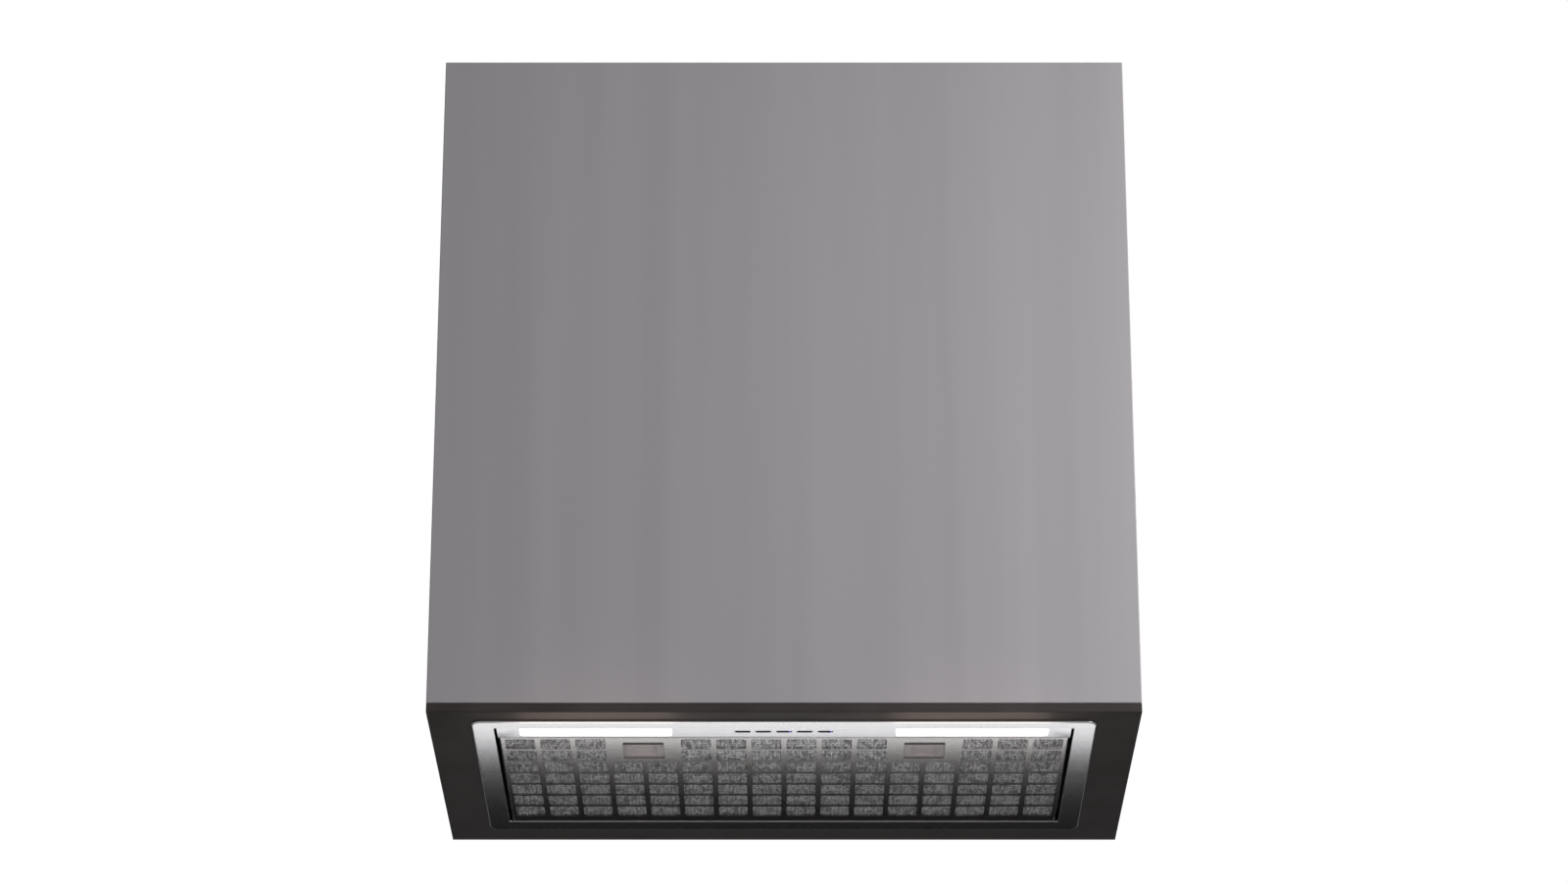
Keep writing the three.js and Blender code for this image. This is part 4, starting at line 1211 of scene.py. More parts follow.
@dataclass
class Surround:
    """The plain box that the insert hangs in: lacquered boards on a dark base plate."""

    bench: Bench
    fixings: Fixings
    top: float = 612.25
    back: float = 175.0
    board_ease: float = 0.9
    base_ease: float = 0.7
    screw_x: float = 260.0
    front_rail_ys: Row = (-142.0, -102.0)
    back_rail_ys: Row = (112.0, 160.0)
    wall_rail_zs: Row = (492.0, 542.0)
    hanging_hole_x: float = 150.0
    hanging_hole_z: float = 517.0
    countersink: Profile = ((4.7, 0.1), (4.6, -0.7), (2.0, -3.3))
    hanging_hole: Profile = ((5.6, 0.1), (5.5, 0.0), (3.2, -3.0), (3.2, -20.0))
    head_depth: float = 0.85

    def rail(self, name: str, out: Point, points: Sequence[Point], holes: Sequence[Point]) -> None:
        """Builds a rail with its sunk screws and its holes for hanging.

        Args:
            name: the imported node.
            out: the direction that its drilled face points in.
            points: where its screws are, on that face.
            holes: where its hanging holes are, on that face.
        """
        drill = Shape()
        for point in points:
            drill.turned(self.countersink, facing(point, out))
        for point in holes:
            drill.turned(self.hanging_hole, facing(point, out))
        self.bench.eased(name, RAIL_LACQUER, Slot.LACQUER, self.board_ease, 3, drilled=drill)
        sunk = [tuple(p - self.head_depth * o for p, o in zip(point, out)) for point in points]
        self.fixings.add(f"{name}_screws", Fixing.FLUSH_SCREW, out, sunk)

    def build(self) -> None:
        """Builds the boards, the base plate and their screws."""
        for name in ("surround_front", "surround_left", "surround_right"):
            self.bench.eased(name, LACQUER, Slot.LACQUER, self.board_ease, 3)
        for end, ys in zip(ENDS, (self.front_rail_ys, self.back_rail_ys)):
            points = [(sign * self.screw_x, y, self.top) for _, sign in SIDES for y in ys]
            self.rail(f"top_rail_{end}", (0, 0, 1), points, ())
        points = [
            (sign * self.screw_x, self.back, z) for _, sign in SIDES for z in self.wall_rail_zs
        ]
        holes = [(sign * self.hanging_hole_x, self.back, self.hanging_hole_z) for _, sign in SIDES]
        self.rail("wall_rail", (0, 1, 0), points, holes)
        self.bench.eased("base_plate", LAMINATE, Slot.ANTHRACITE, self.base_ease, 3)


# ---------------------------------------------------------------- flange and control strip


@dataclass
class InsertFace:
    """The insert's stainless flange and the strip with its lamps and buttons.

    An outer edge is rolled where its faces turn by at least `least_turn` radians, and a rear
    edge where it is longer than `shortest_roll`.
    """

    bench: Bench
    opening_back: float = 115.0
    rear_roll: float = 0.8
    outer_half_x: float = 256.0
    outer_front: float = -147.0
    outer_back: float = 129.0
    outer_roll: float = 1.2
    flange_ease: float = 0.4
    button_count: int = 5
    button_pitch: float = 17.5
    button_y: float = -130.5
    button_face: float = 1.25
    lit_buttons: tuple[int, ...] = (3, 5)
    dish_edge: float = 0.7
    dish_depth: float = 0.25
    light_offset: float = 4.9
    light_sunk: float = 0.25
    light_layers: Layers = ((0.55, 0.9, 0.4, 0.0), (0.7, 1.05, 0.5, 0.12), (0.7, 1.05, 0.5, 1.6))
    least_turn: float = 1.0
    shortest_roll: float = 100.0

    def roll_edges(self, mesh: Mesh) -> None:
        """Rolls the flange's outer edge and the lip that the filter's rear edge rests behind.

        Args:
            mesh: the flange.
        """
        near = 0.1 * MM
        lowest = [e for e in mesh.edges if all(v.co.z < near for v in e.verts)]
        outer = [
            e
            for e in lowest
            if all(
                abs(v.co.x) > self.outer_half_x * MM
                or v.co.y < self.outer_front * MM
                or v.co.y > self.outer_back * MM
                for v in e.verts
            )
            and e.calc_face_angle(0.0) > self.least_turn
        ]
        rear = [
            e
            for e in lowest
            if all(abs(v.co.y - self.opening_back * MM) < near for v in e.verts)
            and e.calc_length() > self.shortest_roll * MM
        ]
        for edges, size in ((outer, self.outer_roll), (rear, self.rear_roll)):
            bmesh.ops.bevel(
                mesh, geom=edges, offset=size * MM, segments=5, affect="EDGES", profile=0.5
            )

    def dish(self, mesh: Mesh) -> None:
        """Presses a shallow dish in the face of a button.

        Args:
            mesh: the button.
        """
        mesh.faces.ensure_lookup_table()
        lowest = min(mesh.faces, key=lambda face: face.calc_center_median().z)
        bmesh.ops.inset_region(mesh, faces=[lowest], thickness=self.dish_edge * MM)
        for vert in lowest.verts:
            vert.co.z += self.dish_depth * MM

    def build(self) -> None:
        """Builds flange, strip, lenses, buttons and what they sit in."""
        bench = self.bench
        bench.eased(
            "bezel_frame", FLANGE_STEEL, Slot.STAINLESS, self.flange_ease, 3, self.roll_edges
        )
        bench.eased("control_strip", STRIP_STEEL, Slot.STRIP_STEEL, ease=0.3)
        bench.eased("light_carrier", CARRIER_ABS, Slot.CARRIER, ease=0.3, steps=1)
        for side, _ in SIDES:
            bench.eased(f"led_lens_{side}", LENS, Slot.LENS, ease=0.3)
            bench.recoat(BOARD, f"led_board_{side}")
        bench.recoat(BOARD, "switch_board")
        for number in range(1, self.button_count + 1):
            bench.eased(f"button_{number}", BUTTON_ABS, Slot.BUTTON, ease=0.2, detail=self.dish)
        for number in self.lit_buttons:
            self.indicator(number)

    def indicator(self, number: int) -> None:
        """Adds the lit end of a button.

        Args:
            number: which button.
        """
        x = (number - (self.button_count + 1) / 2) * self.button_pitch + self.light_offset
        at = Matrix.Translation(mm(x, self.button_y, self.button_face - self.light_sunk))
        shape = Shape().stack([(rounded(*outline), z) for *outline, z in self.light_layers], at)
        name, body = f"button_{number}_light", f"push_button_{number}"
        self.bench.add(shape, name, INDICATOR, Slot.BUTTON, body=body)


# ---------------------------------------------------------------- grease filter


@dataclass
class GreaseFilter:
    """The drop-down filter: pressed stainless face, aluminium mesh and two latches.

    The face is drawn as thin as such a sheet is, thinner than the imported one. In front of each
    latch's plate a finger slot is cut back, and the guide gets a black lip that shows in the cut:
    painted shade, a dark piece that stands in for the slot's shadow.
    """

    bench: Bench
    half_width: float = 242.0
    front: float = -114.0
    back: float = 114.0
    face: float = 0.75
    sheet: float = 0.55
    rim_top: float = 9.75
    rim_ease: float = 0.35
    rim_inner_ease: Pair = (0.2, 0.3)
    lip: float = 3.0
    lip_ease: float = 0.3
    pitch_x: float = 30.0
    pitch_y: float = 30.5
    bar: float = 4.5
    columns: int = 16
    rows: int = 7
    grid_front: float = -111.75
    window_corner: float = 2.2
    fold: float = 1.2
    fold_steps: int = 4
    tab_xs: Row = (-170, 0, 170)
    tab_zs: Pair = (2.3, 3.45)
    tab_reach: Pair = (-0.4, 6.4)
    tab_half: float = 12.0
    tab_corner: float = 2.0
    tab_ease: Pair = (0.3, 0.2)
    latch_x: float = 120.0
    latch_front: float = -101.25
    latch_back: float = -52.25
    latch_half: float = 17.5
    latch_corner: float = 1.6
    mesh_cell: Pair = (3.2, 6.0)
    mesh_columns: int = 150
    mesh_rows: int = 37
    mesh_bottom: float = 1.5
    strand_reach: Pair = (0.85, 0.75)
    strand_rise: float = 0.2
    strand_height: float = 0.3
    layers_bottom: float = 3.2
    nose_slot: tuple[float, float, float] = (7.5, 2.0, 0.5)
    nose_slot_zs: Pair = (2.9, 5.6)
    guide_half: float = 23.5
    guide_back: float = -48.5
    steps: Row = (0.0, 2.6, 5.2)
    pad_steps: Row = (2.2, 0.6)
    pad_dish: float = 1.3
    slot_front: float = -98.5
    slot_back: float = -90.0
    slot_zs: Pair = (1.5, 3.15)
    slot_side: float = 0.4
    slot_corner: float = 0.1
    # The guide's black lip is painted shade: a dark piece in the finger slot that stands in for its
    # shadow.
    shade_lip_front: float = -104.5
    shade_lip_back: float = -90.5
    shade_lip_zs: Pair = (2.25, 2.95)
    shade_lip_half: float = 20.6

    @property
    def column_lines(self) -> list[float]:
        """The points along X where the face's cells have corners, left to right."""
        start = -self.columns * self.pitch_x / 2
        return self.cell_lines(start, self.pitch_x, self.columns)

    @property
    def row_lines(self) -> list[float]:
        """The points along Y where the face's cells have corners, front to back."""
        return self.cell_lines(self.grid_front, self.pitch_y, self.rows)

    @property
    def gap_back(self) -> float:
        """The rear edge of the two blocks of the grid that the latches sit in."""
        return self.grid_front + 2 * self.pitch_y

    def cell_lines(self, start: float, pitch: float, count: int) -> list[float]:
        """Gives the corner points of a row of cells.

        Args:
            start: where the row starts.
            pitch: size of each cell.
            count: how many cells.

        Returns:
            Each cell's corner and the points beside it, and the row's end.
        """
        inner = [*self.steps, *(pitch - step for step in reversed(self.steps[1:]))]
        lines = [start + i * pitch + step for i in range(count) for step in inner]
        return [*lines, start + count * pitch]

    @staticmethod
    def around(xs: Sequence[float], ys: Sequence[float]) -> list[tuple]:
        """Walks round a rectangle through every line, anticlockwise from its left front.

        Args:
            xs: the lines along X, ends included.
            ys: the lines along Y, ends included.

        Returns:
            Its points as (x, y).
        """
        front = [(x, ys[0]) for x in xs[:-1]]
        right = [(xs[-1], y) for y in ys[:-1]]
        back = [(x, ys[-1]) for x in reversed(xs[1:])]
        left = [(xs[0], y) for y in reversed(ys[1:])]
        return [*front, *right, *back, *left]

    @staticmethod
    def hole_points(outer: Sequence[tuple], centre: Pair, half: Pair, corner: float) -> list[tuple]:
        """Gives the points of a rounded hole, one for each point of its cell's edge.

        Args:
            outer: the cell's edge.
            centre: middle of the cell and of the hole.
            half: half the size of the hole.
            corner: radius of the hole's corners.

        Returns:
            Its points as (x, y), each facing the point of the edge that it joins.
        """
        width = max(abs(x - centre[0]) for x, _ in outer)
        depth = max(abs(y - centre[1]) for _, y in outer)
        hx, hy = half
        points = []
        for x, y in outer:
            px, py = (x - centre[0]) / width * hx, (y - centre[1]) / depth * hy
            over_x, over_y = abs(px) - (hx - corner), abs(py) - (hy - corner)
            if over_x > 0 and over_y > 0:
                reach = math.hypot(over_x, over_y)
                px = math.copysign(hx - corner + over_x / reach * corner, px)
                py = math.copysign(hy - corner + over_y / reach * corner, py)
            points.append((centre[0] + px, centre[1] + py))
        return points

    def pressed_cell(
        self,
        shape: Shape,
        xs: Sequence[float],
        ys: Sequence[float],
        centre: Pair,
        half: Pair,
        corner: float,
    ) -> None:
        """Adds one cell of the face, its hole punched square through the thin sheet.

        Args:
            shape: the mesh that gets it.
            xs: the lines along X on its edge.
            ys: the lines along Y on its edge.
            centre: middle of its hole.
            half: half the size of its hole.
            corner: radius of the hole's corners.
        """
        outer = self.around(xs, ys)
        hole = self.hole_points(outer, centre, half, corner)
        low, high = self.face, self.face + self.sheet
        layers = ((outer, low), (hole, low), (hole, high), (outer, high))
        loops = [[mm(x, y, z) for x, y in points] for points, z in layers]
        shape.skin(loops, capped=False)

    def window_cell(self) -> Object:
        """Makes the cell with one window, about the origin."""
        xs = self.cell_lines(-self.pitch_x / 2, self.pitch_x, 1)
        ys = self.cell_lines(-self.pitch_y / 2, self.pitch_y, 1)
        shape = Shape()
        half = ((self.pitch_x - self.bar) / 2, (self.pitch_y - self.bar) / 2)
        self.pressed_cell(shape, xs, ys, (0.0, 0.0), half, self.window_corner)
        return shape.object("window_cell")

    def latch_cells(self, shape: Shape) -> None:
        """Adds the two plain blocks of the face that the latches sit in.

        Args:
            shape: the mesh that gets them.
        """
        near = 0.01
        ys = [y for y in self.row_lines if y <= self.gap_back + near]
        half = (self.latch_half, (self.latch_back - self.latch_front) / 2)
        for _, sign in SIDES:
            centre = (sign * self.latch_x, (self.latch_front + self.latch_back) / 2)
            xs = [x for x in self.column_lines if abs(x - centre[0]) <= self.pitch_x + near]
            self.pressed_cell(shape, xs, ys, centre, half, self.latch_corner)

    def rim(self, shape: Shape) -> None:
        """Adds the margins of the face and the rim that is folded up round them.

        Args:
            shape: the mesh that gets them.
        """
        xs, ys = self.column_lines, self.row_lines

        def loop(inset: float, z: float) -> list[Vector]:
            """Gives the loop that lies this far inside the filter's edge."""
            across = [-self.half_width + inset, *xs[1:-1], self.half_width - inset]
            along = [self.front + inset, *ys[1:-1], self.back - inset]
            return [mm(x, y, z) for x, y in self.around(across, along)]

        low, high, top = self.face, self.face + self.sheet, self.rim_top
        arc = [
            (self.fold * (1 - math.sin(t)), self.fold * (1 - math.cos(t)))
            for t in (math.pi / 2 * i / self.fold_steps for i in range(self.fold_steps + 1))
        ]
        under = top - self.sheet
        layers = [
            *((inset, low + rise) for inset, rise in arc),
            (0.0, top - self.rim_ease),
            (self.rim_ease, top),
            (self.lip - self.lip_ease, top),
            (self.lip, top - self.lip_ease),
            (self.lip, under),
            (self.sheet + self.rim_inner_ease[0], under),
            (self.sheet, under - self.rim_inner_ease[1]),
            (self.sheet, high),
        ]
        edge = [mm(x, y, low) for x, y in self.around(xs, ys)]
        inner = [mm(x, y, high) for x, y in self.around(xs, ys)]
        shape.skin([edge, *(loop(i, z) for i, z in layers), inner], capped=False)

    def panel(self) -> None:
        """Builds the pressed face with its 104 windows and its folded rim as one sheet."""
        cell = self.window_cell()
        middle = self.grid_front + self.rows * self.pitch_y / 2
        values = {
            "Piece": cell,
            "Columns": self.columns,
            "Rows": self.rows,
            "Pitch X": self.pitch_x * MM,
            "Pitch Y": self.pitch_y * MM,
            "Centre": mm(0, middle, 0),
            "Gap Centre": self.latch_x * MM,
            "Gap Half Width": self.pitch_x * MM,
            "Gap Back": self.gap_back * MM,
            "Material": self.bench.material(FILTER_STEEL),
        }
        grid = GridPattern().run("window_grid", bpy.data.meshes.new("window_grid"), values)
        shape = Shape()
        shape.mesh.from_mesh(grid.data)
        self.latch_cells(shape)
        self.rim(shape)
        for x in self.tab_xs:
            self.tab(shape, x)
        bpy.data.objects.remove(grid)
        bpy.data.objects.remove(cell)
        self.bench.add(
            shape,
            "filter_face",
            FILTER_STEEL,
            Slot.STAINLESS,
            "filter_panel",
            body=Body.FILTER.value,
            drill=self.nose_slots(),
        )

    def nose_slots(self) -> Shape:
        """Makes what is cut from the rim's front wall to let the latches' noses through."""
        slots = Shape()
        for _, sign in SIDES:
            at = Matrix.Translation(mm(sign * self.latch_x, self.front, 0))
            slots.stack([(rounded(*self.nose_slot), z) for z in self.nose_slot_zs], at)
        return slots

    def tab(self, shape: Shape, x: float) -> None:
        """Adds one tab that hooks behind the flange.

        Args:
            shape: the mesh that gets it.
            x: its middle.
        """
        (low, high), (start, end), (ease, inset) = self.tab_zs, self.tab_reach, self.tab_ease
        half = (end - start) / 2
        slim = rounded(self.tab_half - ease, half - inset, self.tab_corner - inset)
        full = rounded(self.tab_half, half, self.tab_corner)
        layers = ((slim, low), (full, low + ease), (full, high - ease), (slim, high))
        shape.stack(layers, Matrix.Translation(mm(x, self.back + start + half, 0)))

    def strand_cell(self) -> Object:
        """Makes one diamond of the expanded mesh, about the origin."""
        width, depth = (size / 2 for size in self.mesh_cell)
        reach_x, reach_y = self.strand_reach
        rise = self.strand_rise
        corners = ((width, 0, 0), (0, depth, rise), (-width, 0, 0), (0, -depth, rise))
        outer = [mm(*corner) for corner in corners]
        inner = [mm(x * (1 - reach_x / width), y * (1 - reach_y / depth), z) for x, y, z in corners]
        top = [mm(x, y, z + self.strand_height) for x, y, z in corners]
        return Shape().skin([outer, inner, top], ring=True).object("mesh_strand")

    def mesh(self) -> None:
        """Builds the expanded aluminium layer that shows in the windows."""
        strand = self.strand_cell()
        wide, deep = self.mesh_cell
        values = {
            "Piece": strand,
            "Columns": self.mesh_columns,
            "Rows": self.mesh_rows,
            "Pitch X": wide * MM,
            "Pitch Y": deep * MM,
            "Centre": mm(0, (self.front + self.back) / 2, self.mesh_bottom),
            "Gap Centre": self.latch_x * MM,
            "Gap Half Width": (self.guide_half + wide / 2) * MM,
            "Gap Back": (self.guide_back + deep / 2) * MM,
            "Material": self.bench.material(FOIL),
        }
        made = GridPattern().run("filter_foil", bpy.data.meshes.new("filter_foil"), values)
        bpy.data.objects.remove(strand)
        self.bench.place(made, Body.FILTER.value, Slot.ALUMINIUM)
        # The inner layers take the darker foil tones, which are painted shade.
        self.bench.eased("filter_mesh", SHADED_INNER_FOIL, Slot.ALUMINIUM, ease=0, detail=self.set_back)

    def set_back(self, mesh: Mesh) -> None:
        """Sets the inner layers back behind the foil that shows.

        Args:
            mesh: the filter's layers.
        """
        near = 0.1 * MM
        lowest = min(vert.co.z for vert in mesh.verts)
        for vert in mesh.verts:
            if vert.co.z < lowest + near:
                vert.co.z = self.layers_bottom * MM

    def pad(self, mesh: Mesh) -> None:
        """Presses the finger dish in a latch's pad.

        Args:
            mesh: the latch.
        """
        lowest = min(mesh.faces, key=lambda face: face.calc_center_median().z)
        for thickness in self.pad_steps:
            bmesh.ops.inset_region(mesh, faces=[lowest], thickness=thickness * MM)
        for vert in lowest.verts:
            vert.co.z += self.pad_dish * MM

    def shade_lip(self, sign: int) -> Detail:
        """Gives what adds the black lip, painted shade, that shows in a latch's finger slot.

        Args:
            sign: the side, -1 or 1.

        Returns:
            A function that adds the lip to the mesh of that side's guide.
        """

        def add(mesh: Mesh) -> None:
            """Adds the lip of painted shade, between the guide's walls and under the latch's nose.
            """
            front, back = self.shade_lip_front, self.shade_lip_back
            low, high = self.shade_lip_zs
            middle = mm(sign * self.latch_x, (front + back) / 2, (low + high) / 2)
            size = mm(2 * self.shade_lip_half, back - front, high - low)
            at = Matrix.Translation(middle) @ Matrix.Diagonal((*size, 1.0))
            bmesh.ops.create_cube(mesh, size=1.0, matrix=at)

        return add

    def finger_slot(self, sign: int) -> Shape:
        """Makes what is cut from the front of a latch's plate, so that the black lip of painted
        shade shows in its slot.

        Args:
            sign: the side, -1 or 1.

        Returns:
            The shape to cut away.
        """
        half = (self.slot_back - self.slot_front) / 2
        outline = rounded(self.shade_lip_half + self.slot_side, half, self.slot_corner)
        at = Matrix.Translation(mm(sign * self.latch_x, self.slot_front + half, 0))
        return Shape().stack([(outline, z) for z in self.slot_zs], at)

    def build(self) -> None:
        """Builds the filter and its latches."""
        self.panel()
        self.mesh()
        self.bench.recoat(GRID_STEEL, "filter_back_grid")
        for side, sign in SIDES:
            # Each guide gets the black lip of painted shade that shows in its latch's finger slot.
            name, lip, slot = f"latch_guide_{side}", self.shade_lip(sign), self.finger_slot(sign)
            self.bench.eased(name, CARRIER_ABS, Slot.CARRIER, ease=0.3, steps=1, detail=lip)
            self.bench.eased(f"latch_{side}", LATCH_ABS, Slot.LATCH, 0.35, 3, self.pad, slot)


# ---------------------------------------------------------------- blower


@dataclass
class Blower:
    """The sheet housings, the fan inside them and the duct collar on top."""

    bench: Bench
    fixings: Fixings
    box_half_x: float = 150.0
    box_front: float = -121.5
    box_back: float = 102.5
    box_bottom: float = 84.25
    box_top: float = 300.0
    rim: float = 10.0
    sheet: float = 1.5
    collar_y: float = 14.5
    collar_base: float = 84.0
    collar_radius: float = 75.0
    collar_bottom: float = 300.25
    collar_flange: float = 2.0
    collar_screw_inset: float = 8.0
    bead_width: float = 12.0
    bead_height: float = 1.6
    bead_profile: Profile = ((0, -0.4), (0, 0), (0.9, 0.55), (2.2, 0.9), (3.6, 1.0))
    bead_round: float = 0.02
    bead_steps: int = 6
    bead_raise: float = 6.0
    bead_xs: Row = (-100, -50, 0, 50, 100)
    bead_ys: Row = (-66, 0, 66)
    wall_bead: float = 130.0
    top_bead: float = 150.0
    top_bead_x: float = 118.0
    ring_zs: Row = (30, 40)
    ring_steps: int = 96
    ring_profile: Profile = (
        (0.02, -1.6), (0.55, -1.1), (0.85, 0.0), (0.55, 1.1), (0.02, 1.6), (-0.4, 0)
    )
    rim_screw_xs: Row = (-120, -60, 0, 60, 120)
    rim_screw_ys: Row = (-90, -10, 70)
    tray_half_x: float = 248.0
    tray_front: float = -143.0
    tray_back: float = 124.0
    rivet_xs: Row = (-225, -75, 75, 225)
    rivet_ys: Row = (-120, -10, 100)
    rivet_zs: Pair = (30, 70)

    def bead(self, shape: Shape, at: Matrix, length: float) -> None:
        """Adds one pressed bead that stiffens a sheet.

        Args:
            shape: the mesh that gets it.
            at: its place on the sheet, in metres, its own X along it.
            length: its length.
        """
        layers = []
        for inset, share in self.bead_profile:
            half = self.bead_width / 2 - inset
            outline = rounded(length / 2 - inset, half, half - self.bead_round, self.bead_steps)
            layers.append((outline, share * self.bead_height))
        shape.stack(layers, at)

    def beads(self) -> None:
        """Builds the beads pressed in the blower box's walls and top."""
        shape = Shape()
        z = (self.box_bottom + self.box_top) / 2 + self.bead_raise
        middle = (self.box_front + self.box_back) / 2
        up, along = (0, 0, 1), (0, 1, 0)
        for x in self.bead_xs:
            for y, way in ((self.box_back, 1), (self.box_front, -1)):
                self.bead(shape, facing((x, y, z), (0, way, 0), up), self.wall_bead)
        for _, sign in SIDES:
            for y in self.bead_ys:
                at = facing((sign * self.box_half_x, middle + y, z), (sign, 0, 0), up)
                self.bead(shape, at, self.wall_bead)
            at = facing((sign * self.top_bead_x, middle, self.box_top), up, along)
            self.bead(shape, at, self.top_bead)
        self.bench.add(shape, "blower_box_beads", ZINC, Slot.ZINC)

    def collar_rings(self) -> None:
        """Builds the two raised rings that the duct seals against."""
        shape = Shape()
        at = mm(0, self.collar_y, self.collar_bottom)
        for z in self.ring_zs:
            loops = [
                [
                    at + mm(x, y, z + rise)
                    for x, y in circle(self.collar_radius + out, self.ring_steps)
                ]
                for out, rise in self.ring_profile
            ]
            shape.skin(loops, ring=True)
        self.bench.add(shape, "collar_rings", DAMPER_ABS, Slot.DAMPER)

    def screws(self) -> None:
        """Notes the screws and rivets of the housings and the collar."""
        up = (0, 0, 1)
        half = self.rim / 2
        rim_z = self.box_bottom + self.sheet
        rim_ys = (self.box_front - half, self.box_back + half)
        rim = [(x, y, rim_z) for x in self.rim_screw_xs for y in rim_ys]
        rim += [
            (sign * (self.box_half_x + half), y, rim_z)
            for _, sign in SIDES
            for y in self.rim_screw_ys
        ]
        self.fixings.add("housing_screws", Fixing.PAN_SCREW, up, rim)
        reach = self.collar_base - self.collar_screw_inset
        z = self.collar_bottom + self.collar_flange
        corners = [
            (sx * reach, self.collar_y + sy * reach, z) for _, sx in SIDES for _, sy in SIDES
        ]
        self.fixings.add("collar_screws", Fixing.PAN_SCREW, up, corners)
        for way, y in ((-1, self.tray_front), (1, self.tray_back)):
            points = [(x, y, z) for x in self.rivet_xs for z in self.rivet_zs]
            self.fixings.add("housing_rivets", Fixing.RIVET, (0, way, 0), points)
        for _, sign in SIDES:
            points = [(sign * self.tray_half_x, y, self.rivet_zs[1]) for y in self.rivet_ys]
            self.fixings.add("housing_rivets", Fixing.RIVET, (sign, 0, 0), points)

    def build(self) -> None:
        """Builds the housings, the fan and the collar."""
        bench = self.bench
        bench.eased("lower_housing", ZINC, Slot.ZINC, ease=0.5)
        bench.eased("upper_housing", ZINC, Slot.ZINC, ease=0.5)
        self.beads()
        bench.eased("outlet_collar", DAMPER_ABS, Slot.DAMPER, ease=0.3)
        self.collar_rings()
        for end in ENDS:
            bench.eased(f"damper_{end}", DAMPER_ABS, Slot.DAMPER, ease=0.25, steps=1)
        for side, _ in SIDES:
            bench.eased(f"scroll_{side}", SCROLL_ABS, Slot.SCROLL, ease=0.3, steps=1)
        bench.recoat(IMPELLER_PA, "impeller")
        bench.eased("motor", MOTOR_CAN, Slot.MOTOR, ease=0.6, steps=3)
        bench.recoat(SCREW_STEEL, "motor_shaft", "damper_pin")
        bench.eased("motor_bracket", ZINC, Slot.ZINC, ease=0.3, steps=1)
        self.screws()


# ---------------------------------------------------------------- electrics


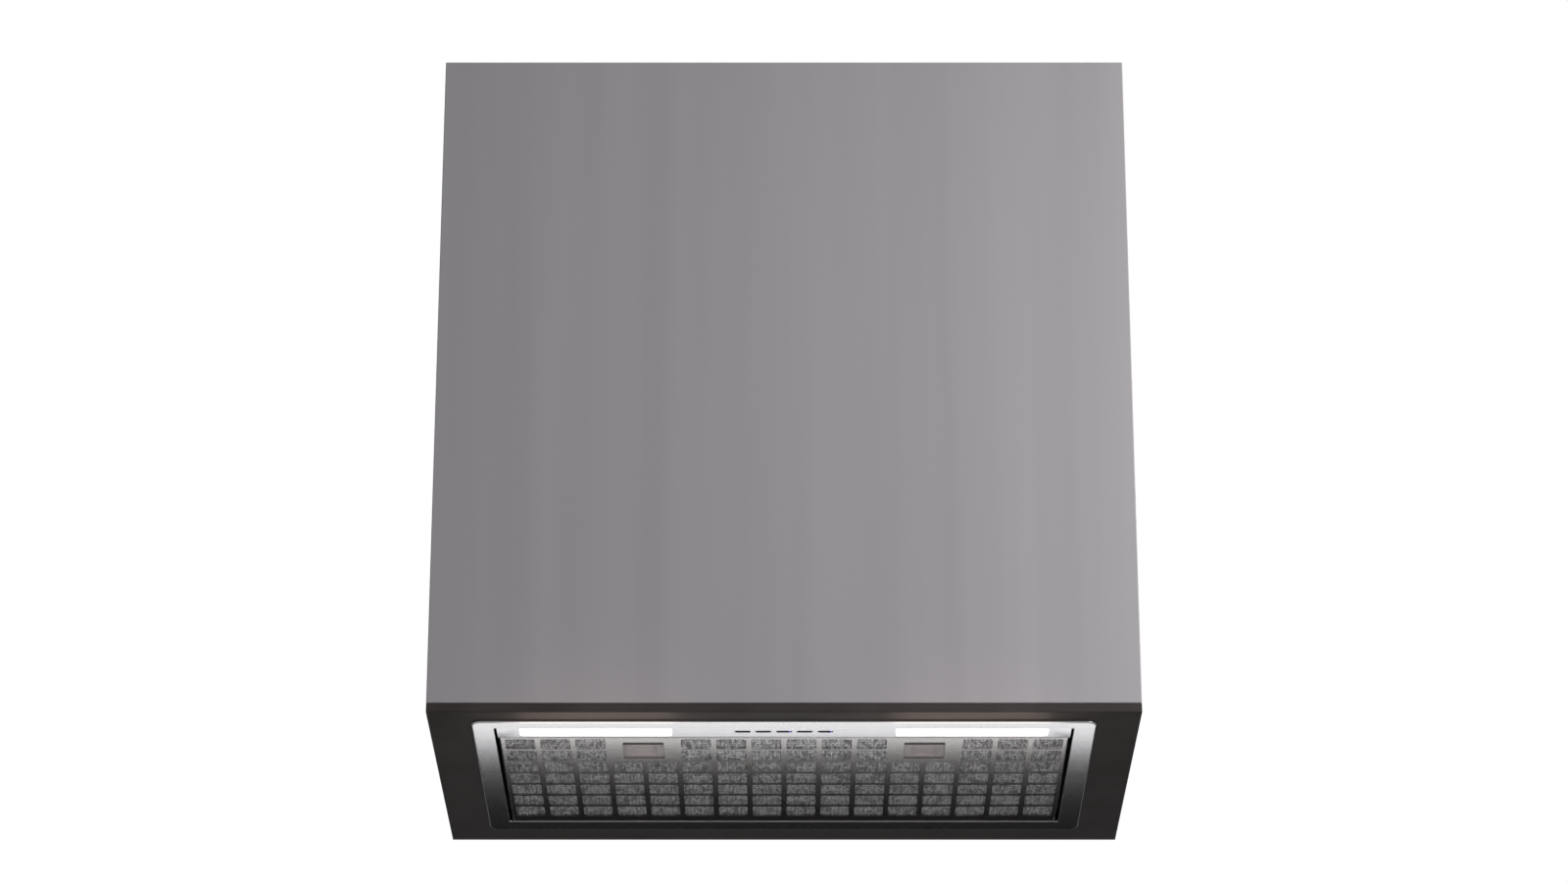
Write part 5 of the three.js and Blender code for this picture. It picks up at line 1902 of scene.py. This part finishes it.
@dataclass
class Electrics:
    """The control box, lamp driver, capacitor and the sleeved wires between them."""

    bench: Bench
    fixings: Fixings
    box_x: float = -205.0
    box_half_x: float = 33.0
    box_front: float = -77.5
    box_back: float = 58.5
    lid_top: float = 123.5
    driver_x: float = 205.0
    driver_front: float = -109.5
    driver_back: float = 0.5
    driver_top: float = 111.25
    sleeve_radius: float = 2.55
    sleeve_rib: float = 0.4
    sleeve_pitch: float = 2.6
    sleeve_steps: int = 16
    wire_x: float = 204.25
    wire_y: float = -128.5
    wire_rise: float = 14.25
    deck_z: float = 84.0
    carrier_z: float = 24.25
    panel_plug_x: float = -40.0
    motor_plug_x: float = -150.25
    motor_plug_y: float = -9.5
    gap: float = 0.25
    lid_screw_inset: float = 5.0
    louvre_ys: tuple[int, ...] = tuple(range(-46, 27, 9))
    louvre_layers: Layers = (
        (20, 1.8, 1.7, -0.3), (20, 1.8, 1.7, 0.0), (19.4, 1.2, 1.1, 0.7), (18.8, 0.6, 0.5, 0.9)
    )
    rib_xs: tuple[int, ...] = tuple(range(-21, 22, 7))
    rib_layers: Layers = ((1.2, 44, 1.1, -0.3), (1.2, 44, 1.1, 0.6), (0.7, 43.5, 0.6, 1.1))

    def raised(self, name: str, layers: Layers, points: Iterable[Point]) -> None:
        """Builds a row of low mouldings on a lid.

        Args:
            name: the piece's name.
            layers: half the width and depth, corner radius and height of each layer of one.
            points: where they stand, in millimetres.
        """
        shape = Shape()
        for point in points:
            outlines = [(rounded(*outline), z) for *outline, z in layers]
            shape.stack(outlines, Matrix.Translation(mm(*point)))
        self.bench.add(shape, name, ENCLOSURE_ABS, Slot.ENCLOSURE)

    def mouldings(self) -> None:
        """Builds the lid's cooling louvres and the driver's ribs."""
        louvres = [(self.box_x, y, self.lid_top) for y in self.louvre_ys]
        self.raised("lid_louvres", self.louvre_layers, louvres)
        middle = (self.driver_front + self.driver_back) / 2
        ribs = [(self.driver_x + x, middle, self.driver_top) for x in self.rib_xs]
        self.raised("driver_ribs", self.rib_layers, ribs)

    @staticmethod
    def smooth_path(points: Sequence[Point], step: float) -> list[Vector]:
        """Runs a smooth curve through points.

        Args:
            points: the points, in millimetres.
            step: distance between the curve's own points, in millimetres.

        Returns:
            The curve's points, in millimetres.
        """
        knots = [Vector(p) for p in points]
        knots = [2 * knots[0] - knots[1], *knots, 2 * knots[-1] - knots[-2]]
        path = []
        for a, b, c, d in zip(knots, knots[1:], knots[2:], knots[3:]):
            times = [0.0]
            for start, end in ((a, b), (b, c), (c, d)):
                times.append(times[-1] + math.sqrt((end - start).length))
            t0, t1, t2, t3 = times
            count = max(2, round((c - b).length / step))
            for i in range(count):
                t = t1 + (t2 - t1) * i / count
                ab = a.lerp(b, (t - t0) / (t1 - t0))
                bc = b.lerp(c, (t - t1) / (t2 - t1))
                cd = c.lerp(d, (t - t2) / (t3 - t2))
                abc = ab.lerp(bc, (t - t0) / (t2 - t0))
                bcd = bc.lerp(cd, (t - t1) / (t3 - t1))
                path.append(abc.lerp(bcd, (t - t1) / (t2 - t1)))
        return [*path, knots[-2]]

    def sleeve(self, name: str, points: Sequence[Point]) -> None:
        """Builds a corrugated sleeve over a run of wires.

        Args:
            name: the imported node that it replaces.
            points: the run's points, in millimetres.
        """
        path = self.smooth_path(points, self.sleeve_pitch / 2)
        level = abs((path[1] - path[0]).z) < self.sleeve_pitch / 4
        side = Vector((0, 0, 1) if level else (0, 1, 0))
        loops = []
        for i, point in enumerate(path):
            ahead = (path[min(i + 1, len(path) - 1)] - path[max(i - 1, 0)]).normalized()
            side = (side - ahead * side.dot(ahead)).normalized()
            other = ahead.cross(side)
            radius = self.sleeve_radius + self.sleeve_rib * (i % 2)
            ring = circle(radius, self.sleeve_steps)
            loops.append([(point + side * x + other * y) * MM for x, y in ring])
        self.bench.add(Shape().skin(loops), f"{name}_sleeve", CABLE_PVC, Slot.CABLE, name)

    def sleeves(self) -> None:
        """Builds the three sleeved runs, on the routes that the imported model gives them."""
        x, y, plug = self.wire_x, self.wire_y, self.panel_plug_x
        deck, carrier = self.deck_z, self.carrier_z
        wire_z = deck + self.wire_rise
        light = (
            (x, self.driver_front - self.gap, wire_z),
            (x, self.driver_front - 10, wire_z),
            (x, y + 2, deck + 8),
            (x, y, deck - 6),
            (x, y, carrier + 12),
            (x, y, carrier),
        )
        panel = (
            (-x, self.box_front - self.gap, wire_z),
            (-x, self.box_front - 10, wire_z),
            (-x, y + 2, deck + 8),
            (-x, y, deck - 6),
            (-x + 6, y, carrier + 18),
            (-x + 30, y, carrier + 10),
            (plug - 30, y, carrier + 10),
            (plug, y, carrier + 5),
            (plug, y, carrier),
        )
        start, end, y = self.box_x + self.box_half_x + self.gap, self.motor_plug_x, self.motor_plug_y
        motor = (
            (start, y, wire_z),
            (start + 3, y, wire_z),
            (start + 6, y, wire_z + 1),
            (end - 6, y, wire_z + 23),
            (end - 3, y, wire_z + 24),
            (end, y, wire_z + 24),
        )
        for name, points in (("light", light), ("panel", panel), ("motor", motor)):
            self.sleeve(f"harness_{name}", points)

    def build(self) -> None:
        """Builds the enclosures, their fixings and the wires."""
        bench = self.bench
        bench.eased("control_box", ENCLOSURE_ABS, Slot.ENCLOSURE, ease=0.6)
        bench.eased("control_box_lid", ENCLOSURE_ABS, Slot.ENCLOSURE, ease=0.8, steps=3)
        bench.recoat(BOARD, "control_board")
        bench.recoat(ENCLOSURE_ABS, "terminal_block")
        bench.eased("cable_gland", CARRIER_ABS, Slot.CARRIER, ease=0.4)
        bench.eased("led_driver", ENCLOSURE_ABS, Slot.ENCLOSURE, ease=0.7, steps=3)
        bench.eased("motor_capacitor", MOTOR_CAN, Slot.MOTOR, ease=0.6, steps=3)
        self.mouldings()
        self.sleeves()
        inset = self.lid_screw_inset
        corners = [
            (self.box_x + sign * (self.box_half_x - inset), y, self.lid_top)
            for _, sign in SIDES
            for y in (self.box_front + inset, self.box_back - inset)
        ]
        self.fixings.add("lid_screws", Fixing.PAN_SCREW, (0, 0, 1), corners)


@dataclass
class Clamps:
    """The brackets and screws that hold the insert down on the base plate."""

    bench: Bench

    def build(self) -> None:
        """Builds the four clamps."""
        for side, _ in SIDES:
            for end in ENDS:
                self.bench.eased(f"clamp_{side}_{end}", ZINC, Slot.ZINC, ease=0.4)
                name = f"clamp_screw_{side}_{end}"
                self.bench.eased(name, SCREW_STEEL, Slot.ZINC, ease=0.4)


# ---------------------------------------------------------------- studio

WARM = "#ffe4cf"
WHITE = "#ffffff"
LENS_X = 0.159  # how far from the middle each lens's lamps are, in metres


class Seen(Enum):
    """What a lamp's light can be seen in."""

    ALL = "every surface"
    MIRRORED = "gloss and bright metal only"


@dataclass(frozen=True)
class Lamp:
    """One soft lamp.

    Attributes:
        name: what it does.
        place: where it stands, in metres.
        aim: the point it faces, in metres.
        size: width and height of its panel, in metres.
        power: its power in watts.
        colour: its colour.
        seen: what its light shows in.
    """

    name: str
    place: Point
    aim: Point
    size: Pair
    power: float
    colour: str = WHITE
    seen: Seen = Seen.ALL


def lens_lamps() -> tuple[Lamp, ...]:
    """Gives the small warm lamps that throw each lens's light onto the steel and board by it."""
    lamps = []
    for side, sign in SIDES:
        x = sign * LENS_X
        lamps += [
            Lamp(f"{side} spill", (x, -0.132, -0.025), (x, -0.165, 0), (0.13, 0.02), 0.03, WARM),
            Lamp(f"{side} glow", (x, -0.215, -0.05), (x, -0.17, 0.02), (0.13, 0.03), 0.02, WARM),
        ]
    return tuple(lamps)


@dataclass
class Studio:
    """The camera below the hood's front, the soft lamps and the pale floor far below.

    The underside is lit as a hood's is: a bright card below and behind it shows in the steel near
    the front edge, its own lamps light the filter's first rows, and the rest mirrors a dark card.
    Both cards lie below the swing of the open filter.
    """

    distance: float = 4.2
    elevation: float = -22.6
    aim: Point = (0.0, 0.0, 0.321)
    lens: float = 107.4
    sensor: float = 36.0
    horizon: Pair = (-0.25, 0.15)
    mirrored: Pair = (0.22, 0.85)
    diffuse: Pair = (0.02, 0.4)
    floor_z: float = -6.5
    floor_radius: float = 16.0
    floor_steps: int = 64
    floor_colour: str = "#e9e8e6"
    floor_shade: Pair = (0.55, 1.0)
    fade: Pair = (3.0, 9.0)
    card_z: float = -0.27
    card_half_x: float = 2.4
    card_ys: Pair = (0.25, 3.2)
    card_colour: str = "#121111"
    lamps: tuple[Lamp, ...] = (
        Lamp("key from the right", (1.15, -1.0, 0.35), (0.05, -0.17, 0.25), (0.9, 0.9), 25.4),
        Lamp("fill from the left", (-2.6, -2.2, 0.9), (0.0, -0.1, 0.3), (2.2, 2.2), 3.2),
        Lamp("back light", (-0.9, 2.6, 1.5), (0.0, 0.1, 0.3), (2.4, 2.0), 38.0),
        Lamp("top light", (-0.3, -0.2, 2.8), (0.0, 0.0, 0.3), (1.6, 1.6), 19.0),
        Lamp(
            "bright room",
            (0.0, 0.578, -0.26),
            (0.0, 0.578, 0.0),
            (0.9, 0.156),
            0.69,
            seen=Seen.MIRRORED,
        ),
        Lamp("filter light", (0.0, -0.13, -0.07), (0.0, -0.12, 0.0), (0.48, 0.03), 0.17),
        *lens_lamps(),
    )

    @staticmethod
    def aimed(name: str, data: bpy.types.ID, place: Vector, way: Vector) -> Object:
        """Puts a camera or a lamp in the scene.

        Args:
            name: its name.
            data: what it is.
            place: where it stands, in metres.
            way: the direction it looks in.

        Returns:
            The object.
        """
        made = bpy.data.objects.new(name, data)
        bpy.context.scene.collection.objects.link(made)
        made.location = place
        made.rotation_mode = "QUATERNION"
        made.rotation_quaternion = way.to_track_quat("-Z", "Y")
        return made

    def camera(self) -> None:
        """Makes the camera, on the middle of the front and looking up at it."""
        data = bpy.data.cameras.new("camera")
        data.lens, data.sensor_width = self.lens, self.sensor
        rise = math.radians(self.elevation)
        back = Vector((0, -math.cos(rise), math.sin(rise)))
        place = Vector(self.aim) + back * self.distance
        bpy.context.scene.camera = self.aimed("camera", data, place, -back)

    def light(self) -> None:
        """Hangs the lamps."""
        for lamp in self.lamps:
            data = bpy.data.lights.new(lamp.name, "AREA")
            data.shape = "RECTANGLE"
            data.size, data.size_y = lamp.size
            data.energy = lamp.power
            data.color = linear(lamp.colour)[:3]
            place = Vector(lamp.place)
            made = self.aimed(lamp.name, data, place, Vector(lamp.aim) - place)
            made.visible_camera = False
            made.visible_diffuse = lamp.seen is Seen.ALL

    def world(self) -> None:
        """Makes the surroundings: white where they are seen, dimmer as light and in gloss."""
        world = bpy.data.worlds.new("studio")
        bpy.context.scene.world = world
        world.use_nodes = True
        tree = world.node_tree
        tree.nodes.clear()
        rays = add_node(tree, "ShaderNodeLightPath").outputs
        seen = add_node(
            tree,
            "ShaderNodeMath",
            {0: rays["Is Camera Ray"], 1: rays["Is Transmission Ray"]},
            operation="MAXIMUM",
        )
        direction = add_node(tree, "ShaderNodeTexCoord").outputs["Generated"]
        height = add_node(tree, "ShaderNodeSeparateXYZ", {0: direction}).outputs["Z"]
        low, high = self.horizon
        parts = {}
        for part, (ray, levels) in enumerate(
            (("Is Glossy Ray", self.mirrored), ("Is Diffuse Ray", self.diffuse))
        ):
            level = add_node(
                tree,
                "ShaderNodeMapRange",
                {"Value": height, "From Min": low, "From Max": high, **between(*levels)},
            )
            parts[part] = add_node(
                tree, "ShaderNodeMath", {0: level, 1: rays[ray]}, operation="MULTIPLY"
            )
        around = add_node(tree, "ShaderNodeMath", parts, operation="ADD")
        strength = add_node(tree, "ShaderNodeMath", {0: seen, 1: around}, operation="MAXIMUM")
        white = add_node(
            tree, "ShaderNodeBackground", {"Color": linear(WHITE), "Strength": strength}
        )
        add_node(tree, "ShaderNodeOutputWorld", {"Surface": white})

    @staticmethod
    def flat(name: str, corners: Iterable[Point], finish: Material) -> Object:
        """Makes a flat sheet of the set.

        Args:
            name: its name.
            corners: its corners in order, in metres.
            finish: its material.

        Returns:
            The sheet.
        """
        shape = Shape()
        shape.mesh.faces.new([shape.mesh.verts.new(corner) for corner in corners])
        made = shape.object(name)
        made.data.materials.append(finish)
        return made

    def floor(self) -> None:
        """Makes the pale floor, which fades to white away from the hood's shadow."""
        made = bare_material("pale floor")
        tree = made.node_tree
        camera_ray = add_node(tree, "ShaderNodeLightPath").outputs["Is Camera Ray"]
        place = add_node(tree, "ShaderNodeTexCoord").outputs["Object"]
        level = add_node(tree, "ShaderNodeMapping", {"Vector": place, "Scale": (1.0, 1.0, 0.0)})
        far = add_node(tree, "ShaderNodeVectorMath", {0: level}, operation="LENGTH")
        near, end = self.fade
        fade = add_node(
            tree,
            "ShaderNodeMapRange",
            {
                "Value": far.outputs["Value"],
                "From Min": near,
                "From Max": end,
                **between(*self.floor_shade),
            },
        )
        seen = add_node(tree, "ShaderNodeMath", {0: fade, 1: camera_ray}, operation="MULTIPLY")
        pale = add_node(
            tree, "ShaderNodeBsdfDiffuse", {"Color": linear(self.floor_colour), "Roughness": 0.3}
        )
        white = add_node(tree, "ShaderNodeEmission", {"Color": linear(WHITE), "Strength": 1.0})
        mixed = add_node(tree, "ShaderNodeMixShader", {0: seen, 1: pale, 2: white})
        add_node(tree, "ShaderNodeOutputMaterial", {"Surface": mixed})
        outline = circle(self.floor_radius, self.floor_steps)
        floor = self.flat("floor", [(x, y, self.floor_z) for x, y in outline], made)
        floor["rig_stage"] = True

    def dark_card(self) -> None:
        """Lays a dark card below and behind, which only the steel underside mirrors."""
        made = bare_material("dark card")
        tree = made.node_tree
        black = add_node(
            tree, "ShaderNodeEmission", {"Color": linear(self.card_colour), "Strength": 1.0}
        )
        add_node(tree, "ShaderNodeOutputMaterial", {"Surface": black})
        half, (front, back), z = self.card_half_x, self.card_ys, self.card_z
        corners = ((-half, front, z), (half, front, z), (half, back, z), (-half, back, z))
        card = self.flat("dark_card", corners, made)
        card.visible_camera = card.visible_diffuse = card.visible_transmission = False
        card.visible_shadow = False
        card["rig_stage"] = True

    def build(self) -> None:
        """Makes camera, lamps, surroundings, floor and dark card."""
        bpy.context.scene.view_settings.view_transform = "Standard"
        self.camera()
        self.light()
        self.world()
        self.floor()
        self.dark_card()


def write_sizes(cad: tuple[Vector, Vector]) -> None:
    """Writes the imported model's box and the visual model's box.

    Args:
        cad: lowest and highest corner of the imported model.
    """
    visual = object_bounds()
    sizes = {
        "cad": [list(corner) for corner in cad],
        "visual": [list(corner) for corner in visual],
    }
    for key, (low, high) in sizes.items():
        LOG.info("%s box %s to %s", key, [round(v, 4) for v in low], [round(v, 4) for v in high])


def main() -> None:
    """Builds the studio and every sub-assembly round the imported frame."""
    logging.basicConfig(level=logging.INFO, format="%(name)s: %(message)s", force=True)
    for leftover in list(bpy.data.objects):
        bpy.data.objects.remove(leftover)
    Studio().build()
    bench = Bench(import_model())
    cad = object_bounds()
    fixings = Fixings(bench)
    Surround(bench, fixings).build()
    InsertFace(bench).build()
    GreaseFilter(bench).build()
    Blower(bench, fixings).build()
    Electrics(bench, fixings).build()
    Clamps(bench).build()
    fixings.drive()
    write_sizes(cad)


if __name__ == "__main__":
    main()
